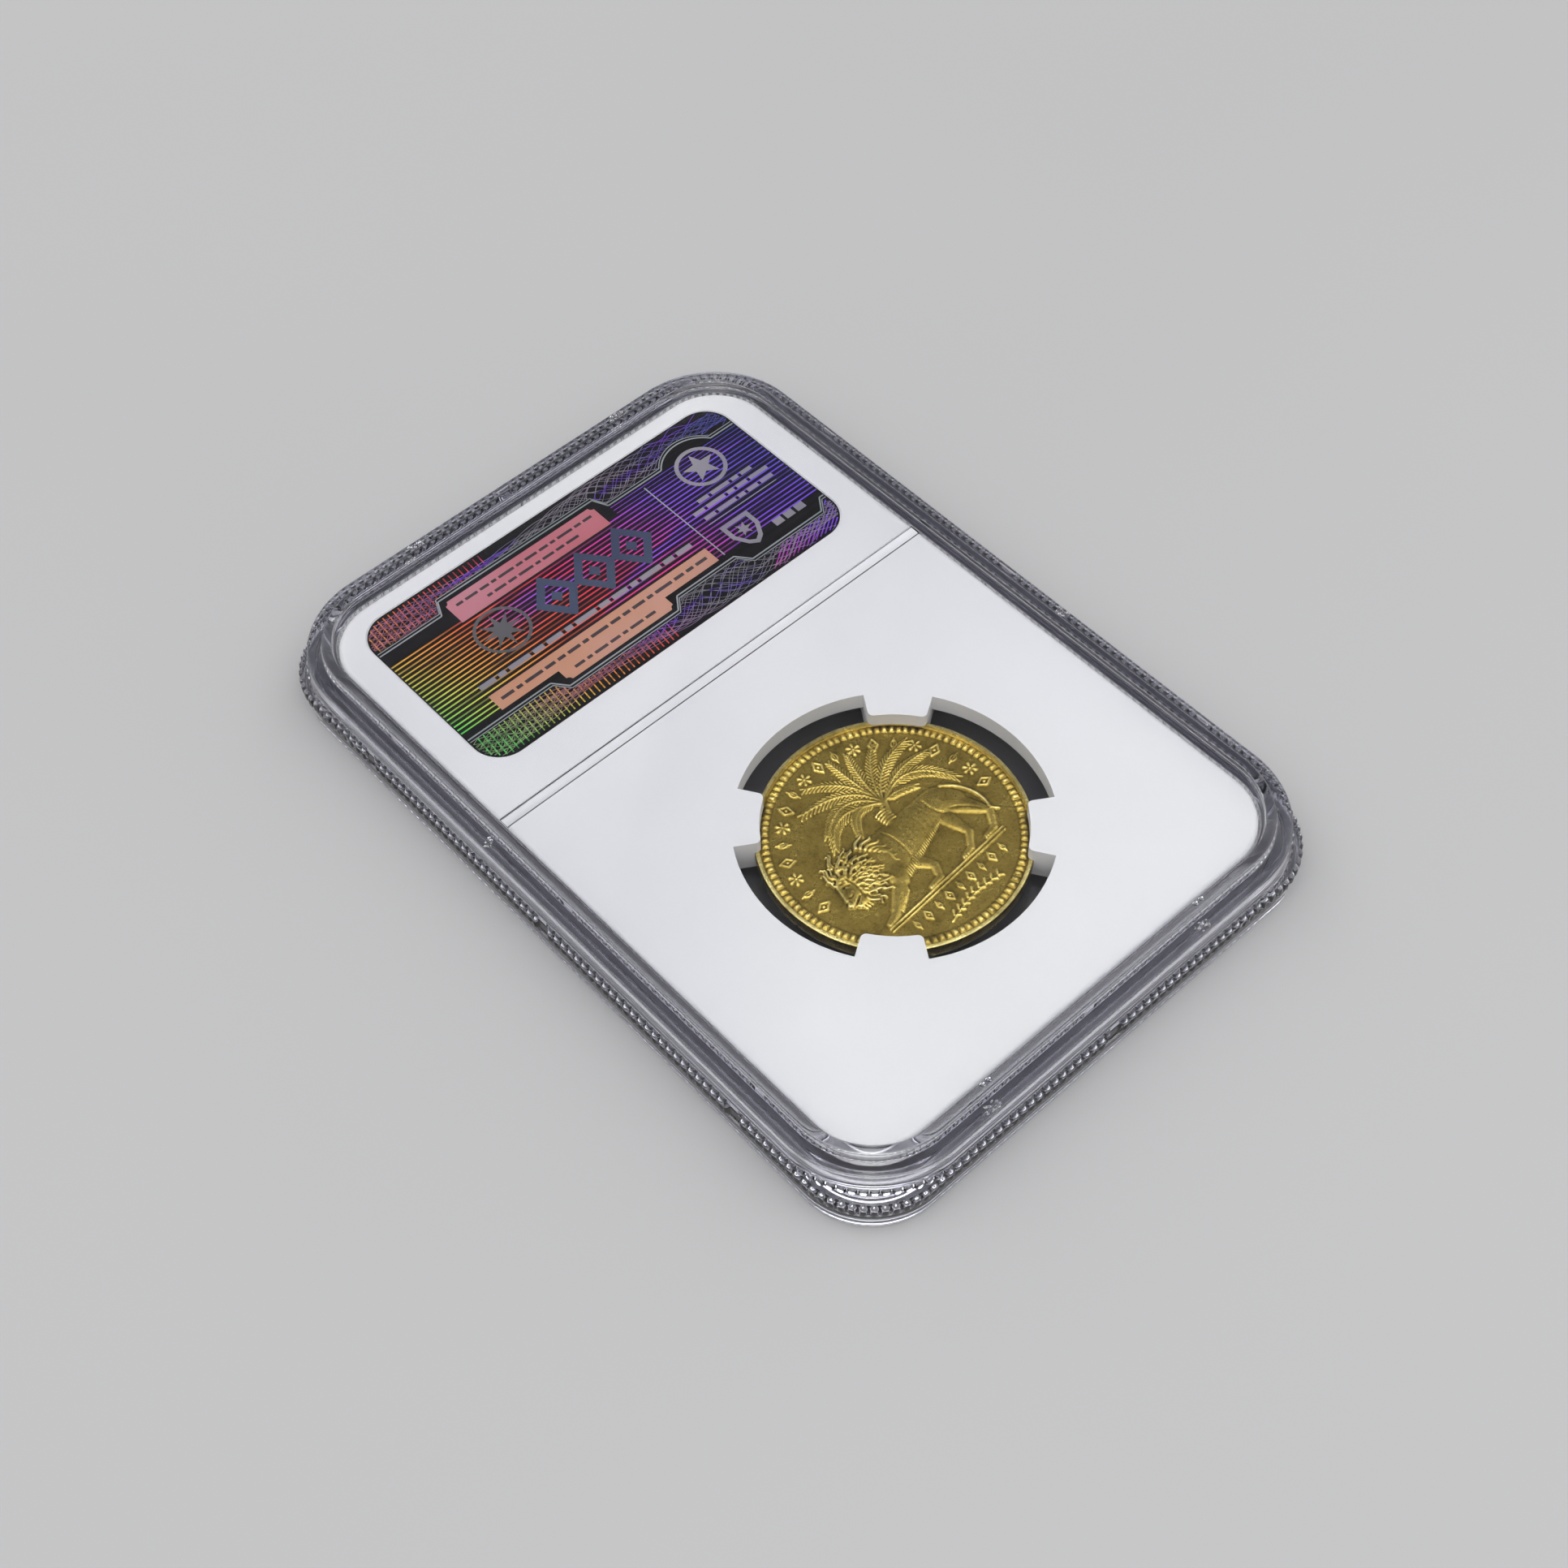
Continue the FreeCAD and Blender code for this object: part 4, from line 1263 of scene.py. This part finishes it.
def paper_print():
    """Border, panel lines and short bars of the front label, which faces down."""
    builder = Builder()
    low = paper_low[2] - 0.008
    high = paper_low[2] + 0.01
    for inset, wide in ((0.9, 0.35), (1.6, 0.12)):
        outer = inset_outline(inset)
        inner = inset_outline(inset + wide)
        builder.hoop(outer, inner, low, high)
    for k in range(4):
        y = 5.6 - 2.9 * k
        spans = bar_row(-18.5 + 1.5 * (k % 2), 8.5 - 2.0 * (k % 2), (4.2, 2.4, 5.4), 0.8)
        bars(builder, y, spans, 1.0 if k else 1.5, low, high)
    builder.hoop(circle(15.0, 1.8, 4.0), circle(15.0, 1.8, 3.5), low, high)
    builder.plate(star(15.0, 1.8, 3.1, 1.3, 8), low, high)
    return builder


def clear_shell(name, builder, material, node):
    """Makes a shell; its edge attribute marks the deep rim, whose tint shows more."""
    piece = finish_mesh(name, builder, material, "slab")
    points = np.abs(np.array(builder.points))
    inset = np.minimum(half_wide - points[:, 0], half_long - points[:, 1])
    edge = 1 - smooth_step(inset, CAVITY_INSET - 0.5, CAVITY_INSET + 0.1)
    attribute = piece.data.attributes.new("edge", "FLOAT", "POINT")
    attribute.data.foreach_set("value", edge.astype(np.float32))
    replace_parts(piece, node)


# ------------------------------------------------------------------- build pieces
plastic = clear_plastic()
clear_shell("rear_shell_clear", rear_shell(), plastic, "rear_shell")
clear_shell("front_shell_clear", front_shell(), plastic, "front_shell")
finish_mesh("rear_shell_marks", rear_marks(), plastic, "slab")

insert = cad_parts["coin_insert"]
insert.data.materials.clear()
insert.data.materials.append(white_insert())
insert.data.shade_smooth()

gold = struck_gold()
rear_coin = coin_half("coin_rear_face", rear_relief(), REAR_GRID, True, gold)
front_coin = coin_half("coin_front_face", front_relief(), FRONT_GRID, False, gold)
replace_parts(rear_coin, "coin")
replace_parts(front_coin, "coin")

# Painted diffraction colours of the foil, from one end of the label to the other.
line_stops = [(0.0, (0.10, 0.80, 0.12)), (0.10, (0.75, 0.80, 0.08)), (0.17, (1.0, 0.50, 0.05)),
              (0.30, (0.95, 0.12, 0.03)), (0.46, (0.95, 0.03, 0.10)), (0.60, (0.80, 0.04, 0.50)),
              (0.74, (0.28, 0.08, 0.95)), (1.0, (0.10, 0.10, 0.80))]
net_stops = [(0.0, (0.35, 0.60, 0.25)), (0.18, (0.75, 0.25, 0.32)), (0.35, (0.45, 0.22, 0.50)),
             (0.5, (0.42, 0.42, 0.46)), (0.8, (0.46, 0.38, 0.50)), (1.0, (0.16, 0.16, 0.70))]
base = label_base(label_low[2], label_high[2])
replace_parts(finish_mesh("rear_label_foil", base, foil_base(), "slab"), "rear_label")
net = rainbow("foil_net", net_stops, (0.5, 0.8, 1.0), 0.2)
grating = rainbow("foil_grating", line_stops, (0.35, 0.9, 1.0), 0.0)
ruling = rainbow("foil_ruling", line_stops, (0.30, 1.0, 1.0), 0.0)
border = printed("foil_border", (0.30, 0.36, 0.36), (0.50, 0.52, 0.55), 0.3)
rose = printed("foil_rose", (0.62, 0.16, 0.20), (0.70, 0.30, 0.36), 0.2)
amber = printed("foil_amber", (0.72, 0.33, 0.14), (0.70, 0.38, 0.30), 0.2)
foil_ink = printed("foil_ink", (0.03, 0.02, 0.03), (0.07, 0.05, 0.06))
steel = printed("foil_steel", (0.05, 0.07, 0.14), (0.09, 0.12, 0.20), 0.3)
dim = printed("foil_dim", (0.10, 0.11, 0.13), (0.17, 0.17, 0.18), 0.3)
silver = printed("foil_silver", (0.28, 0.27, 0.33), (0.45, 0.42, 0.46), 0.3)
label_pieces = [
    ("net", net_bands(), net), ("grating", grating_lines(), grating),
    ("ruling", ruled_lines(), ruling), ("border", border_lines(), border),
    ("plaque", plaques(), rose), ("lower_plaque", lower_plaque(), amber),
    ("print", plaque_print(), foil_ink), ("motif", bold_motif(), steel),
    ("rosette", faint_motif(), dim), ("seals", silver_motifs(), silver),
]
for name, builder, material in label_pieces:
    finish_mesh("rear_label_" + name, builder, material, "slab")

paper = printed("paper_label", (0.78, 0.76, 0.70), (0.84, 0.82, 0.77), 0.0, 120.0, (0.6, 0.75))
base = label_base(paper_low[2], paper_high[2])
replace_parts(finish_mesh("front_label_paper", base, paper, "slab"), "front_label")
ink = printed("paper_ink", (0.10, 0.13, 0.22), (0.16, 0.20, 0.30))
finish_mesh("front_label_print", paper_print(), ink, "slab")


# ------------------------------------------------------------------ floor and light
def floor_disc():
    mesh = bpy.data.meshes.new("floor")
    work = bmesh.new()
    bmesh.ops.create_circle(work, cap_ends=True, segments=96, radius=4.0)
    work.to_mesh(mesh)
    work.free()
    mesh.materials.append(pale_floor())
    floor = bpy.data.objects.new("floor", mesh)
    floor.location = (0.0, 0.0, foot * MM - 0.00002)
    bpy.context.scene.collection.objects.link(floor)


def soft_light():
    """A soft broad light overhead in a dimmer room, dark in the patch the window mirrors."""
    world = bpy.data.worlds.new("studio")
    world.use_nodes = True
    bpy.context.scene.world = world
    tree = world.node_tree
    coords = add_node(tree, "ShaderNodeTexCoord").outputs["Generated"]
    towards = add_node(tree, "ShaderNodeVectorMath", operation="DOT_PRODUCT")
    mirrored_way = (0.385, 0.445, 0.808)
    towards.inputs[1].default_value = mirrored_way
    tree.links.new(coords, towards.inputs[0])
    dark_stops = [(0.0, 1.0), (0.80, 1.0), (0.94, 0.07), (1.0, 0.04)]
    room_stops = [(0.0, 0.18), (0.5, 0.24), (0.76, 0.62), (0.95, 1.0)]
    patch = ramp(tree, towards.outputs["Value"], dark_stops)
    rising = ramp(tree, axis_value(tree, coords, "Z"), room_stops)
    light = mix(tree, 1.0, patch, rising, "MULTIPLY")
    tree.links.new(light, tree.nodes["Background"].inputs["Color"])
    tree.nodes["Background"].inputs["Strength"].default_value = 3.8


def camera():
    data = bpy.data.cameras.new("camera")
    data.lens = 55.18
    data.sensor_width = 36.0
    data.clip_start = 0.01
    view = bpy.data.objects.new("camera", data)
    view.location = (-0.0903, -0.1041, 0.1868)
    view.rotation_euler = (0.62937, 0.01925, -0.73939)
    bpy.context.scene.collection.objects.link(view)
    bpy.context.scene.camera = view


floor_disc()
soft_light()
camera()
bpy.context.scene.view_settings.view_transform = "Standard"
